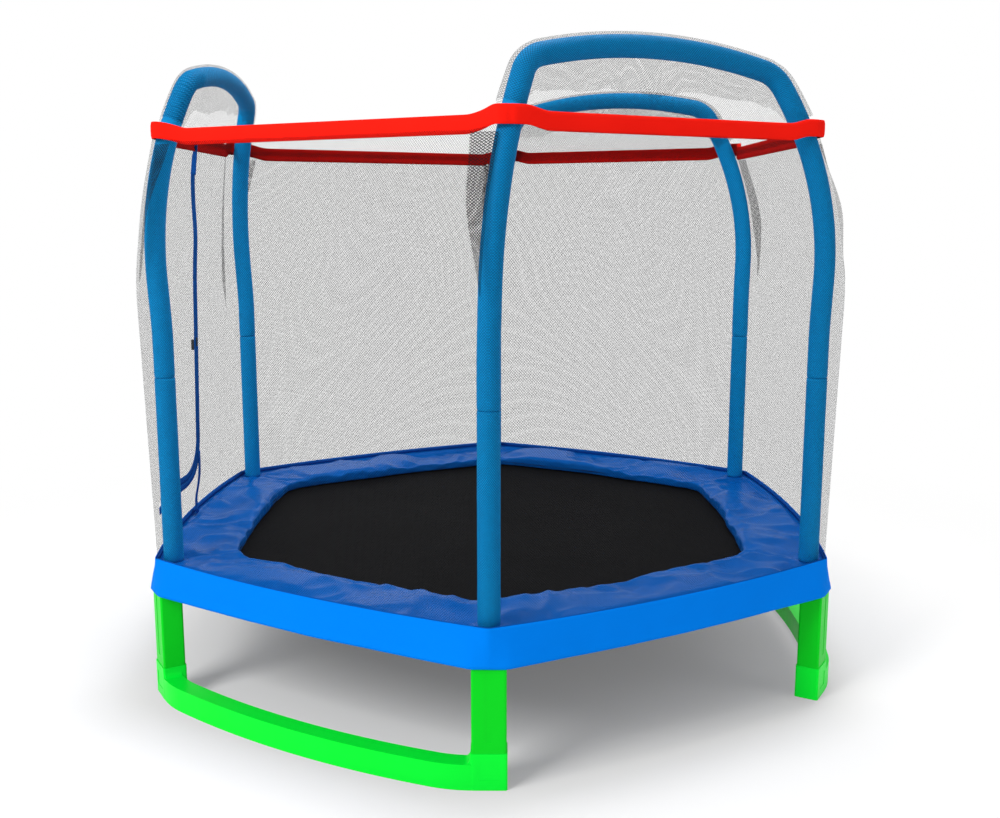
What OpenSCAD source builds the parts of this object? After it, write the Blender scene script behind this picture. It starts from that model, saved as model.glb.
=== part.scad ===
// Six-sided children's trampoline: three U-shaped floor bases, six legs, a bowed steel
// frame with springs, a jumping mat, a padded spring cover with a skirt, three padded
// arches and a safety net with a zipped door. Millimetres, +Z up, floor at z = 0.

/* [Frame] */
// Distance from the middle of the mat to each corner of the frame
frame_corner_r = 1022; // [990:2:1050]
// How far each bowed rail stands out past the straight line between its corners
rail_bow = 37; // [30:1:44]
// Outside diameter of the rails
rail_d = 32; // [28:1:34]
// Wall of the rails
rail_wall = 1.5; // [1.2:0.1:2]
// Wall of the sleeves that hold the rail ends
sleeve_wall = 3; // [2.5:0.1:3.5]
// Length of each sleeve along its rail
sleeve_l = 75; // [65:1:90]
// Outside diameter of the upright barrel at each corner
barrel_d = 46; // [45:0.5:48]
// Length of the upright barrel
barrel_l = 93; // [88:1:105]

/* [Legs and bases] */
// Outside diameter of the leg tubes
leg_tube_d = 38; // [34:1:39]
// Wall of the leg tubes
leg_tube_wall = 1.5; // [1.2:0.1:2]
// Width of a leg, along the side of the frame
leg_w = 82; // [78:1:90]
// Depth of a leg, from inside to outside
leg_depth = 60; // [57:1:66]
// Wall of the leg covers
leg_wall = 3; // [2:0.5:3.5]
// Height of the base at each leg
stub_h = 90; // [84:1:110]
// How far the base stands out around the leg cover that it carries
stub_lip = 2; // [1:0.5:4]
// Height of the curved beam of a base
beam_h = 63; // [50:1:72]
// Width of the curved beam of a base
beam_w = 50; // [40:1:54]
// How much nearer the middle a beam's outer face is, at its middle, than the frame's corners
beam_inset = 22; // [12:1:32]
// Radius of the beam's bends next to the legs
beam_bend_r = 300; // [200:10:340]
// Radius of the fillet between a beam's top and a leg stub
stub_fillet = 16; // [8:1:20]
// Thickness of a stub's floor under the leg tube
stub_floor = 8; // [5:1:12]

/* [Mat and springs] */
// Width of the gap between the rails' centre line and the edge of the mat's hem
spring_gap = 150; // [142:1:160]
// Width of the hem round the mat
hem_w = 33; // [28:1:40]
// Thickness of the hem
hem_t = 7; // [6.5:0.5:10]
// Thickness of the mat
mat_t = 2; // [1:0.5:3]
// Width of the cut across each corner of the mat
mat_corner_cut = 60; // [30:5:90]
// Springs on each side
springs_a_side = 7; // [4:1:8]
// Outside diameter of the spring coils
spring_d = 16; // [12:1:20]
// Diameter of the spring wire
spring_wire = 2.8; // [2.2:0.1:3]
// Thickness of the triangular rings that the springs hook into
ring_t = 3.5; // [2.5:0.1:4]

/* [Spring cover and skirt] */
// Height of the top of the spring cover above the floor
cover_z = 380; // [365:5:430]
// Thickness of the spring cover
cover_t = 18; // [14:1:24]
// How far the spring cover reaches in from the rails' centre line
cover_in = 185; // [178:1:200]
// How far the spring cover reaches out from the rails' centre line
cover_out = 26; // [24.5:0.5:28]
// Thickness of the cover's vinyl
vinyl_t = 1.5; // [1:0.1:2]
// Height of the skirt
skirt_h = 95; // [80:1:110]
// How far the skirt's top edge stands above the spring cover
skirt_rise = 12; // [6:1:16]
// How much further out the skirt stands at its lower edge
skirt_flare = 6; // [0:1:10]
// Thickness of the skirt's cloth
skirt_t = 1.4; // [1:0.1:2]

/* [Poles and arches] */
// How much nearer the middle the poles stand than the frame's corners
pole_inset = 22; // [17:0.5:27]
// Outside diameter of the poles and arches
pole_d = 25; // [24:0.5:27]
// Wall of the poles and arches
pole_wall = 1.5; // [1.2:0.1:1.8]
// Height of the joint between pole and arch above the spring cover
pole_joint_h = 504; // [480:2:520]
// Length of the narrowed pole end that goes up into the arch
swage_l = 60; // [40:1:70]
// Height above the cover at which an arch starts to lean out
lean_h = 591; // [585:1:610]
// Angle by which an arch leans out
lean = 3; // [2:0.5:4]
// Radius of the bend into that lean
lean_bend_r = 1500; // [1200:50:1800]
// Height above the cover at which an arch starts to curve in
upright_h = 760; // [750:5:790]
// Radius of the long curve of an arch's upright
upright_bend_r = 880; // [840:10:920]
// Angle of that long curve
upright_bend = 33; // [31:0.5:35]
// Direction of that curve, from along the side towards the middle of the mat
upright_turn = 35; // [33:1:37]
// Radius of an arch's shoulders
shoulder_r = 83; // [70:1:100]
// Angle at which an arch's top bar leaves the shoulders
top_rise = 13.3; // [11:0.1:15]
// Angle at which the top bar leans in
top_tilt = 18; // [15:1:21]
// Diameter of the foam sleeves
foam_d = 54; // [48:1:58]

/* [Safety net] */
// Thickness of the net
net_t = 1.5; // [1:0.1:2]
// Height of the webbing that holds the net's lower edge
net_hem_h = 12; // [8:1:16]
// How far the net's lower edge stands out from the rails' centre line
net_out = 22; // [18:0.5:23]
// Height above the cover at which the net stands out furthest
net_belly_h = 760; // [700:10:800]
// Gap between the poles' foam and the net's corners at that height
net_belly_gap = 35; // [30:1:48]
// Height above the cover at which the net first lies along the arches' foam
net_hug_h = 967; // [900:5:1000]
// Slack between the net and the foam there and above
net_slack = 10; // [6:0.5:14]
// Height of the red band's middle above the cover
band_h = 1136; // [1110:2:1150]
// Width of the red band
band_w = 52; // [40:1:60]
// Thickness of the red band
band_t = 2; // [1:0.5:3]
// Width of the loose net tails beside the poles
tail_w = 70; // [50:1:90]
// Length of those net tails
tail_l = 350; // [250:10:350]

/* [Door] */
// Distance from the middle of the door's side to the upright part of its zip
zip_offset = 20; // [0:5:60]
// Height of the zip's lower run above the cover
zip_low_h = 130; // [110:5:180]
// Radius of the zip's bend
zip_bend_r = 120; // [80:5:150]
// Width of each zip tape
tape_w = 13; // [9:0.5:16]
// Thickness of the zip tapes
tape_t = 2.2; // [1.8:0.1:3]
// Gap between the two zip tapes
zip_gap = 3; // [2.6:0.1:4]
// Distance from the door side's middle to the end of the zip beside the pole
zip_end = 440; // [400:5:450]
// Height of the zip slider above the cover
slider_h = 530; // [450:10:600]
// Length of the zip slider
slider_l = 26; // [20:1:34]

/* [Fasteners and clearances] */
// Diameter of the leg bolts
leg_bolt_d = 8; // [6:0.5:8]
// Diameter of the rail and base screws
screw_d = 5; // [4:0.5:5]
// Diameter of the snap buttons that lock arch to pole
snap_d = 7; // [5:0.5:8]
// Clearance all round between tubes that slide together
fit = 0.3; // [0.2:0.05:0.4]
// Clearance round screws and bolts in their holes
hole_fit = 0.2; // [0.15:0.05:0.3]

/* [Hidden] */
$fn = 48;
up = [0, 0, 1];
sides = 6;
half_side = frame_corner_r * sin(30);
// Each bowed side is an arc about a point on the far side of the mat
side_r = (pow(half_side, 2) + pow(rail_bow, 2)) / (2 * rail_bow);
side_x = frame_corner_r * cos(30) + rail_bow - side_r;
side_reach = asin(half_side / side_r);

beam_reach = frame_corner_r - beam_inset;
pole_circle_r = frame_corner_r - pole_inset;
sleeve_d = rail_d + 2 * fit + 2 * sleeve_wall;
cover_seat = 1;
rail_z = cover_z - cover_t - cover_seat - sleeve_d / 2;
barrel_top = rail_z + sleeve_d / 2;
barrel_z = barrel_top - barrel_l;
barrel_stop = 4;
rail_start = barrel_d / 2 + barrel_stop;
leg_bore_top = rail_z - sleeve_d / 2 - 1;
leg_bolt_z = barrel_z + 22;
rail_screw_at = leg_w / 2 + screw_d + 4;
base_screw_z = stub_h / 2;
base_screw_l = 22;
screw_head_d = 2 * screw_d;
screw_head_h = 0.6 * screw_d;

spigot_l = 70;
boss_d = pole_d + 9;
boss_h = 16;
pole_foot = barrel_top + fit;
arch_foot = cover_z + pole_joint_h;
swage_d = pole_d - 2 * pole_wall - 2 * fit;
neck_h = 8;
snap_z = arch_foot + swage_l / 2;
foam_gap = 0.5;
foam_seam = 0.3;

hem_outer = -spring_gap;
hem_inner = -spring_gap - hem_w;
hem_z = rail_z - hem_t / 2;
hook_r = 4.6;
ring_apex = -spring_gap + 26;
ring_base = -spring_gap - 10;
ring_bar = 4.5;
ring_apex_w = 8;
ring_base_w = 36;
hook_at = ring_apex - ring_bar / 2;
coil_end = hook_at + hook_r + 9;
coil_start = -rail_d / 2 - 6;
spring_pitch = 0.77 * 2 * half_side / (springs_a_side - 1);
hook_hole_d = spring_wire + 1.2;

cover_floor = cover_z - cover_t;
backing_t = 1.2;
pocket_margin = 15;
pole_margin = 30;
skirt_low = cover_z + skirt_rise - skirt_h;
skirt_out = cover_out + skirt_t + fit - skirt_flare * skirt_rise / skirt_h;
skirt_ease = 2;
leg_top = skirt_low + 3;

band_mid = cover_z + band_h;
band_low = band_mid - band_w / 2;
band_high = band_mid + band_w / 2;
net_low = cover_z + net_hem_h + 0.3;
net_belly_z = cover_z + net_belly_h;
net_belly_r = pole_circle_r + foam_d / 2 + net_belly_gap;
net_hug_z = cover_z + net_hug_h;
net_wrap = foam_d / 2 + net_slack;
belly_wrap = foam_d / 2 + 7;
band_ease = 0.8;
hood_slack = 3.6;
slice_h = 0.2;

// How far the middle of the footprint lies from the middle of the mat: a base bulges
// out on the +X side and only the skirt does on the -X side.
mat_x = (side_x + side_r + skirt_out + skirt_flare - beam_reach) / 2;

// ---- Vectors, paths and tubes -------------------------------------------------------

function unit(v) = v / norm(v);
function side_of(u, v) = unit(v - (u * v) * u);
function turned(u, v, a) = cos(a) * u + sin(a) * side_of(u, v);
function any_side(u) = side_of(u, abs(u.x) < 0.9 ? [1, 0, 0] : [0, 1, 0]);
// Where a bend of radius r that starts at p ends, as it turns from direction u to v
function bent(p, u, v, r) = p + r * side_of(u, v) * (1 - u * v) + r * u * norm(cross(u, v));
// The point a degrees along that bend
function on_bend(p, u, v, r, a) = p + r * side_of(u, v) * (1 - cos(a)) + r * u * sin(a);
function polar(r, a) = [r * cos(a), r * sin(a)];
function spun(p, a) = [p.x * cos(a) - p.y * sin(a), p.x * sin(a) + p.y * cos(a)];
function arc(c, r, a0, a1, n) = [for (i = [0:n]) c + polar(r, a0 + (a1 - a0) * i / n)];
function flipped(p) = [p.x, -p.y, p.z];
function blend(a, b, t) = a + (b - a) * t;
function level(p, z) = [p.x, p.y, z];

module place(p, u, g) {
  w = cross(u, g);
  multmatrix([[g.x, w.x, u.x, p.x], [g.y, w.y, u.y, p.y], [g.z, w.z, u.z, p.z]]) children();
}

module ring(ro, ri) {
  difference() {
    circle(ro);
    circle(ri);
  }
}

module tube(z0, z1, ro, ri) {
  translate([0, 0, z0]) linear_extrude(z1 - z0) ring(ro, ri);
}

module rounded(x, y, r) {
  square([x - 2 * r, y], center = true);
  square([x, y - 2 * r], center = true);
  for (i = [-1, 1], j = [-1, 1]) translate([i * (x / 2 - r), j * (y / 2 - r)]) circle(r);
}

// Lengths of a bent tube stop just short of each other, and a thin crimp ring joins them
crimp = 0.2;
crimp_l = 6;
crimp_gap = 0.5;

module straight(p, q, ro, ri) {
  u = unit(q - p);
  place(p + u * crimp_gap, u, any_side(u)) linear_extrude(norm(q - p) - 2 * crimp_gap) ring(ro, ri);
}

module bend(p, u, v, r, ro, ri) {
  g = side_of(u, v);
  w = cross(g, u);
  c = p + r * g;
  trim = crimp_gap / r * 180 / PI;
  multmatrix([[-g.x, u.x, -w.x, c.x], [-g.y, u.y, -w.y, c.y], [-g.z, u.z, -w.z, c.z]])
    rotate([0, 0, trim]) rotate_extrude(angle = acos(u * v) - 2 * trim)
      translate([r, 0]) ring(ro, ri);
}

module crimp_ring(p, u, ro, ri) {
  place(p - u * crimp_l / 2, u, any_side(u)) linear_extrude(crimp_l) ring(ro + crimp, ri - crimp);
}

// ---- The six-sided plan -------------------------------------------------------------

// Corner k is at -90, -30, 30 ... degrees; side k runs from corner k to corner k + 1.
function corner_a(k) = 60 * k - 150;
function side_a(k) = 60 * k - 120;
function arch_side(k) = 2 * k - 1;
function base_side(k) = 2 * k;

module at_corner(k, r = frame_corner_r) { rotate(corner_a(k)) translate([r, 0, 0]) children(); }
module at_side(k) { rotate(side_a(k)) children(); }
// Turns about the centre of side k's arc to a place d along its rail from the middle
module along_rail(k, d) {
  at_side(k) translate([side_x, 0, 0]) rotate(d / side_r * 180 / PI) children();
}

// Radius at which two sides moved in by off meet
function inner_corner(off) =
  side_x * cos(30) + sqrt(pow(side_r + off, 2) - pow(side_x * sin(30), 2));
// The frame's plan, moved out by off; inside the rails the corners are cut off instead
function outline(off, cut = 0, n = 10, m = 4) = [
  for (k = [1:sides])
    each let (
      r = side_r + off,
      reach = off > 0 ? side_reach : asin(inner_corner(off) * sin(30) / r) - cut / 2 / r * 180 / PI,
      flat = arc([side_x, 0], r, -reach, reach, n),
      corner = polar(frame_corner_r, 30),
      bend_round = off <= 0 ? [] :
        [for (i = [1:m - 1]) corner + polar(off, side_reach + (60 - 2 * side_reach) * i / m)]
    ) [for (p = concat(flat, bend_round)) spun(p, side_a(k))]
];

module band_of(outer, inner, cut_outer = 0, cut_inner = 0) {
  difference() {
    polygon(outline(outer, cut_outer));
    polygon(outline(inner, cut_inner));
  }
}

// ---- Bases and legs -----------------------------------------------------------------

// A base's outer face: a long arc about [-beam_x, 0] and a bend at each end that runs
// into the outer face of the leg stub
stub_depth = leg_depth + 2 * stub_lip;
stub_w = leg_w + 2 * stub_lip;
beam_face = frame_corner_r + stub_depth / 2 - 0.5;
bend_c = polar(beam_face - beam_bend_r, 30) + polar(stub_w / 2 - 8, -60);
beam_x = (pow(beam_reach - beam_bend_r, 2) - bend_c * bend_c)
  / (2 * (bend_c.x - beam_reach + beam_bend_r));
bend_from = atan2(bend_c.y, bend_c.x + beam_x);

function beam_line(in) = concat(
  arc([bend_c.x, -bend_c.y], beam_bend_r - in, -30, -bend_from, 8),
  arc([-beam_x, 0], beam_x + beam_reach - in, -bend_from, bend_from, 20),
  arc(bend_c, beam_bend_r - in, bend_from, 30, 8)
);
function backwards(l) = [for (i = [len(l) - 1:-1:0]) l[i]];

module fillet_bar(l) {
  rotate([90, 0, 90]) linear_extrude(l, center = true) difference() {
    translate([-1, -1]) square(stub_fillet + 1);
    translate([stub_fillet, stub_fillet]) circle(stub_fillet);
  }
}

module base(k) {
  at_side(base_side(k)) difference() {
    union() {
      linear_extrude(beam_h) polygon(concat(beam_line(0), backwards(beam_line(beam_w))));
      for (s = [-1, 1]) rotate(30 * s) translate([frame_corner_r, 0, 0]) {
        linear_extrude(stub_h) rounded(stub_depth, stub_w, 6);
        translate([(stub_depth - beam_w) / 2 - 1, -s * stub_w / 2, beam_h]) mirror([0, s > 0 ? 1 : 0, 0])
          fillet_bar(beam_w - 6);
      }
    }
    for (s = [-1, 1]) rotate(30 * s) translate([frame_corner_r, 0, 0]) {
      translate([0, 0, stub_floor]) cylinder(h = stub_h, r = leg_tube_d / 2 + fit);
      translate([0, 0, base_screw_z]) rotate([0, -90, 0])
        cylinder(h = stub_depth, r = screw_d / 2 + hole_fit);
      // Shallow moulded panel on the outer face
      translate([stub_depth / 2 - 1, 0, stub_h / 2]) rotate([90, 0, 90])
        linear_extrude(2) rounded(stub_w - 36, stub_h - 50, 6);
    }
  }
}

module leg_cover(k) {
  h = leg_top - stub_h;
  at_corner(k) translate([0, 0, stub_h]) difference() {
    linear_extrude(h) rounded(leg_depth, leg_w, 6);
    translate([0, 0, leg_wall])
      linear_extrude(h) rounded(leg_depth - 2 * leg_wall, leg_w - 2 * leg_wall, 4);
    translate([0, 0, -1]) cylinder(h = leg_wall + 2, r = leg_tube_d / 2 + fit);
    // Shallow moulded panel on the outer face
    translate([leg_depth / 2 - 1, 0, h / 2 + 8]) rotate([90, 0, 90])
      linear_extrude(2) rounded(leg_w / 5, h - 40, 5);
  }
}

module leg_tube(k) {
  at_corner(k) difference() {
    tube(stub_floor + fit, leg_bore_top - 1, leg_tube_d / 2, leg_tube_d / 2 - leg_tube_wall);
    translate([0, 0, leg_bolt_z]) rotate([90, 0, 0])
      cylinder(h = 2 * leg_tube_d, r = leg_bolt_d / 2 + hole_fit, center = true);
    translate([0, 0, base_screw_z]) rotate([0, -90, 0])
      cylinder(h = leg_tube_d, r = screw_d / 2 + hole_fit);
  }
}

module leg_bolt(k) {
  grip = barrel_d / 2 + fit;
  at_corner(k) translate([0, 0, leg_bolt_z]) rotate([90, 0, 0]) {
    translate([0, 0, -grip - 9]) cylinder(h = 2 * grip + 9.1, r = leg_bolt_d / 2);
    translate([0, 0, grip]) cylinder(h = 0.6 * leg_bolt_d, r = 0.9 * leg_bolt_d, $fn = 6);
  }
}

module leg_nut(k) {
  grip = barrel_d / 2 + fit;
  at_corner(k) translate([0, 0, leg_bolt_z]) rotate([90, 0, 0]) translate([0, 0, -grip])
    mirror([0, 0, 1]) difference() {
      cylinder(h = 0.8 * leg_bolt_d, r = 0.9 * leg_bolt_d, $fn = 6);
      translate([0, 0, -1]) cylinder(h = leg_bolt_d + 2, r = leg_bolt_d / 2 + 0.1);
    }
}

module base_screw(k) {
  inner_face = stub_depth / 2;
  at_corner(k) translate([-inner_face, 0, base_screw_z]) rotate([0, 90, 0]) {
    translate([0, 0, -screw_head_h - 0.1]) cylinder(h = screw_head_h, r = screw_head_d / 2);
    translate([0, 0, -0.2]) cylinder(h = base_screw_l, r = screw_d / 2);
  }
}

// ---- Frame --------------------------------------------------------------------------

// A length of round bar along the rail of side k, from d0 to d1 from the corner that
// the side starts at; s turns it to the corner that the side ends at
module rail_arc(k, d0, d1, r) {
  a = 180 / PI / side_r;
  at_side(k) translate([side_x, 0, rail_z]) rotate(-side_reach + d0 * a)
    rotate_extrude(angle = (d1 - d0) * a) translate([side_r, 0]) circle(r);
}

rail_l = 2 * side_reach * PI / 180 * side_r;

module frame_rail(k) {
  difference() {
    rail_arc(k, rail_start + 1, rail_l - rail_start - 1, rail_d / 2);
    rail_arc(k, 0, rail_l, rail_d / 2 - rail_wall);
    for (i = [1:springs_a_side]) along_rail(k, spring_place(i))
      translate([side_r - rail_d / 2 - 2, 0, rail_z]) rotate([0, 90, 0])
        cylinder(h = rail_d / 4 + 2, r = hook_hole_d / 2);
    for (s = [-1, 1]) along_rail(k, s * (rail_l / 2 - rail_screw_at))
      translate([side_r, 0, rail_z - rail_d]) cylinder(h = rail_d, r = screw_d / 2 + hole_fit);
  }
}

function side_before(k) = k == 1 ? sides : k - 1;

module corner_socket(k) {
  before = side_before(k);
  difference() {
    union() {
      at_corner(k) translate([0, 0, barrel_z]) cylinder(h = barrel_l, r = barrel_d / 2);
      rail_arc(k, 0, sleeve_l, sleeve_d / 2);
      rail_arc(before, rail_l - sleeve_l, rail_l, sleeve_d / 2);
      at_corner(k, pole_circle_r) translate([0, 0, barrel_top - boss_h])
        cylinder(h = boss_h, r = boss_d / 2);
      at_corner(k, pole_circle_r) translate([0, 0, barrel_top - 1])
        cylinder(h = spigot_l, r = pole_d / 2 - pole_wall - fit);
    }
    rail_arc(k, rail_start, sleeve_l + 1, rail_d / 2 + fit);
    rail_arc(before, rail_l - sleeve_l - 1, rail_l - rail_start, rail_d / 2 + fit);
    at_corner(k) translate([0, 0, barrel_z - 1])
      cylinder(h = leg_bore_top - barrel_z + 1, r = leg_tube_d / 2 + fit);
    at_corner(k) translate([0, 0, leg_bolt_z]) rotate([90, 0, 0])
      cylinder(h = 2 * barrel_d, r = leg_bolt_d / 2 + hole_fit, center = true);
    for (s = [[k, rail_screw_at - rail_l / 2], [before, rail_l / 2 - rail_screw_at]])
      along_rail(s[0], s[1]) translate([side_r, 0, rail_z - sleeve_d])
        cylinder(h = sleeve_d, r = screw_d / 2 + hole_fit);
  }
}

module rail_screw(k, s) {
  along_rail(k, s * (rail_l / 2 - rail_screw_at)) translate([side_r, 0, rail_z - sleeve_d / 2]) {
    translate([0, 0, -screw_head_h - 0.1]) cylinder(h = screw_head_h, r = screw_head_d / 2);
    translate([0, 0, -0.2]) cylinder(h = sleeve_wall + rail_wall + 6, r = screw_d / 2);
  }
}

// ---- Mat and springs ----------------------------------------------------------------

function spring_place(i) = (i - (springs_a_side + 1) / 2) * spring_pitch;

// Each coil is drawn as a slit tube round a wire, with an eye at the mat end and a
// turned-down hook inside the rail
module spring() {
  inner = spring_d / 2 - spring_wire;
  rotate([0, 90, 0]) rotate_extrude(angle = 345) polygon([
    [spring_wire / 2 - 0.4, coil_end], [spring_d / 2, coil_end + 4],
    [spring_d / 2, coil_start - 4], [spring_wire / 2 - 0.4, coil_start],
    [spring_wire / 2 - 0.4, coil_start - 3], [inner, coil_start - 7],
    [inner, coil_end + 7], [spring_wire / 2 - 0.4, coil_end + 3]
  ]);
  wire_from = hook_at + hook_r;
  wire_to = -rail_d / 2 + rail_wall + 6;
  translate([wire_from, 0, 0]) rotate([0, 90, 0]) cylinder(h = wire_to - wire_from, r = spring_wire / 2);
  translate([hook_at, 0, 0]) rotate([90, 0, 0]) rotate_extrude() translate([hook_r, 0])
    circle(spring_wire / 2);
  translate([wire_to - 1.8, 0, -8]) cylinder(h = 8, r = spring_wire / 2 + 0.2);
}

module at_spring(k, i) { along_rail(k, spring_place(i)) translate([side_r, 0, rail_z]) children(); }

module mat_ring() {
  lean_in = ring_bar + 0.5;
  translate([0, 0, -ring_t / 2]) linear_extrude(ring_t) difference() {
    polygon([
      [ring_apex, -ring_apex_w / 2], [ring_apex, ring_apex_w / 2],
      [ring_base, ring_base_w / 2], [ring_base, -ring_base_w / 2]
    ]);
    polygon([
      [ring_apex - ring_bar, 1 - ring_apex_w / 2], [ring_apex - ring_bar, ring_apex_w / 2 - 1],
      [ring_base + ring_bar, ring_base_w / 2 - lean_in], [ring_base + ring_bar, lean_in - ring_base_w / 2]
    ]);
  }
}

module mat_hem() {
  color("#202225") difference() {
    translate([0, 0, hem_z]) linear_extrude(hem_t)
      band_of(hem_outer, hem_inner, mat_corner_cut, mat_corner_cut);
    for (k = [1:sides], i = [1:springs_a_side]) at_spring(k, i)
      translate([ring_base - fit, -ring_base_w / 2 - fit, -ring_t / 2 - fit])
        cube([hem_outer - ring_base + 8, ring_base_w + 2 * fit, ring_t + 2 * fit]);
  }
}

module jump_mat() {
  color("#1A1A1A") translate([0, 0, hem_z + hem_t - mat_t]) linear_extrude(mat_t)
    polygon(outline(hem_inner - fit, mat_corner_cut));
}

// ---- Spring cover and skirt ---------------------------------------------------------

module pole_holes(z0, z1, r) {
  for (k = [1:sides]) at_corner(k, pole_circle_r) translate([0, 0, z0]) cylinder(h = z1 - z0, r = r);
}

// The plan of one foam slab, smaller all round by the clearance c
module pocket_plan(k, c) {
  intersection() {
    difference() {
      polygon(outline(cover_out - pocket_margin - c));
      polygon(outline(pocket_margin + c - cover_in, mat_corner_cut));
    }
    at_side(k) translate([2 * (pole_margin + c), 0])
      polygon([[0, 0], polar(2 * frame_corner_r, -30), polar(2 * frame_corner_r, 30)]);
  }
}

module spring_cover() {
  color("#0A55A8") difference() {
    translate([0, 0, cover_floor + backing_t]) linear_extrude(cover_t - backing_t)
      band_of(cover_out, -cover_in, 0, mat_corner_cut);
    for (k = [1:sides]) translate([0, 0, cover_floor])
      linear_extrude(cover_t - vinyl_t) pocket_plan(k, 0);
    pole_holes(cover_floor - 1, cover_z + 1, pole_d / 2 + foam_gap);
  }
}

module cover_backing() {
  color("#1C2A44") difference() {
    translate([0, 0, cover_floor]) linear_extrude(backing_t) band_of(cover_out, -cover_in, 0, mat_corner_cut);
    pole_holes(cover_floor - 1, cover_z + 1, pole_d / 2 + foam_gap);
  }
}

module pad_foam() {
  color("#E9E4D0") for (k = [1:sides]) translate([0, 0, cover_floor + backing_t + fit])
    linear_extrude(cover_t - vinyl_t - backing_t - 2 * fit) pocket_plan(k, fit);
}

// The skirt's lower edge passes round the legs
module skirt_body(in) {
  over = in > 0 ? 1 : 0;
  round_leg = 2 * (skirt_t + skirt_ease - in);
  hull() {
    translate([0, 0, skirt_low - over]) linear_extrude(slice_h + over) {
      polygon(outline(skirt_out + skirt_flare - in));
      for (k = [1:sides]) at_corner(k) rounded(leg_depth + round_leg, leg_w + round_leg, 6);
    }
    translate([0, 0, skirt_low + skirt_h - slice_h]) linear_extrude(slice_h + over)
      polygon(outline(skirt_out - in));
  }
}

module skirt() {
  color("#0088FF") difference() {
    skirt_body(0);
    skirt_body(skirt_t);
  }
}

// ---- Poles and arches ---------------------------------------------------------------

module pole(k) {
  ro = pole_d / 2;
  ri = ro - pole_wall;
  top = arch_foot - fit;
  at_corner(k, pole_circle_r) difference() {
    union() {
      translate([0, 0, pole_foot]) cylinder(h = top - pole_foot, r = ro);
      translate([0, 0, top - 1]) cylinder(h = swage_l + 1, r = swage_d / 2);
    }
    translate([0, 0, pole_foot - 1]) cylinder(h = top - neck_h - pole_foot + 1, r = ri);
    translate([0, 0, top - neck_h - 1]) cylinder(h = swage_l + neck_h + 2, r = swage_d / 2 - pole_wall);
    translate([0, 0, snap_z]) rotate([0, 90, 0]) cylinder(h = pole_d, r = snap_d / 2 + hole_fit);
  }
}

// An arch's centre line from its foot to the middle of its top bar, for the side along Y
foot = [pole_circle_r * cos(30), -pole_circle_r / 2, arch_foot];
bend_1 = level(foot, cover_z + lean_h);
leaned = [sin(lean), 0, cos(lean)];
bend_1_end = bent(bend_1, up, leaned, lean_bend_r);
bend_2 = bend_1_end + leaned * (cover_z + upright_h - bend_1_end.z) / leaned.z;
steep = turned(leaned, [-sin(upright_turn), cos(upright_turn), 0], upright_bend);
bend_3 = bent(bend_2, leaned, steep, upright_bend_r);
rising = [-sin(top_tilt) * sin(top_rise), cos(top_rise), cos(top_tilt) * sin(top_rise)];
bend_4 = bent(bend_3, steep, rising, shoulder_r);
top_bend_r = -bend_4.y / sin(top_rise);
shoulder_turn = acos(steep * rising);

module half_arch(ro, ri, from) {
  straight(level(foot, from), bend_1, ro, ri);
  crimp_ring(bend_1, up, ro, ri);
  bend(bend_1, up, leaned, lean_bend_r, ro, ri);
  crimp_ring(bend_1_end, leaned, ro, ri);
  straight(bend_1_end, bend_2, ro, ri);
  crimp_ring(bend_2, leaned, ro, ri);
  bend(bend_2, leaned, steep, upright_bend_r, ro, ri);
  crimp_ring(bend_3, steep, ro, ri);
  bend(bend_3, steep, rising, shoulder_r, ro, ri);
  crimp_ring(bend_4, rising, ro, ri);
}

module arch_tube(ro, ri, from) {
  half_arch(ro, ri, from);
  mirror([0, 1, 0]) half_arch(ro, ri, from);
  bend(bend_4, rising, [-rising.x, rising.y, -rising.z], top_bend_r, ro, ri);
}

module arch(k) {
  difference() {
    at_side(arch_side(k)) arch_tube(pole_d / 2, pole_d / 2 - pole_wall, arch_foot);
    for (c = [0, 1]) at_corner(arch_side(k) + c, pole_circle_r) translate([0, 0, snap_z])
      rotate([0, 90, 0]) cylinder(h = pole_d, r = snap_d / 2 + hole_fit);
  }
}

module snap_button(k) {
  leaf_r = swage_d / 2 - pole_wall - 1.6;
  at_corner(k, pole_circle_r) {
    translate([leaf_r, 0, snap_z]) rotate([0, 90, 0])
      cylinder(h = pole_d / 2 + foam_gap - 0.9 - leaf_r, r = snap_d / 2);
    translate([leaf_r - 0.8, -3, snap_z - 20]) cube([1.2, 6, 26]);
  }
}

module pole_foam() {
  color("#0076B8") for (k = [1:sides]) at_corner(k, pole_circle_r)
    tube(cover_z + fit, arch_foot - foam_seam, foam_d / 2, pole_d / 2 + foam_gap);
}

module arch_foam(k) {
  at_side(arch_side(k))
    arch_tube(foam_d / 2, pole_d / 2 + foam_gap, arch_foot - crimp_gap + foam_seam);
}

// ---- Safety net ---------------------------------------------------------------------

// Where an arch's upright crosses the height z, on its long curve
rise_side = side_of(leaned, steep);
function upright_angle(z) = atan2(rise_side.z, leaned.z)
  + asin((z - bend_2.z - upright_bend_r * rise_side.z) / (upright_bend_r * norm([leaned.z, rise_side.z])));
function upright_at(z) = on_bend(bend_2, leaned, steep, upright_bend_r, upright_angle(z));

// A thin slice round the uprights of all three arches at height z, at distance r from them
module round_uprights(z, r, h = slice_h, at = 0) {
  p = upright_at(at == 0 ? z : at);
  for (k = [1:3], s = [-1, 1]) at_side(arch_side(k)) translate([p.x, s * p.y, z])
    cylinder(h = h, r = r, $fn = 28);
}

module belly_slice(in) {
  for (k = [1:sides]) at_corner(k, net_belly_r - belly_wrap) translate([0, 0, net_belly_z])
    cylinder(h = slice_h, r = belly_wrap - in, $fn = 28);
}

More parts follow.
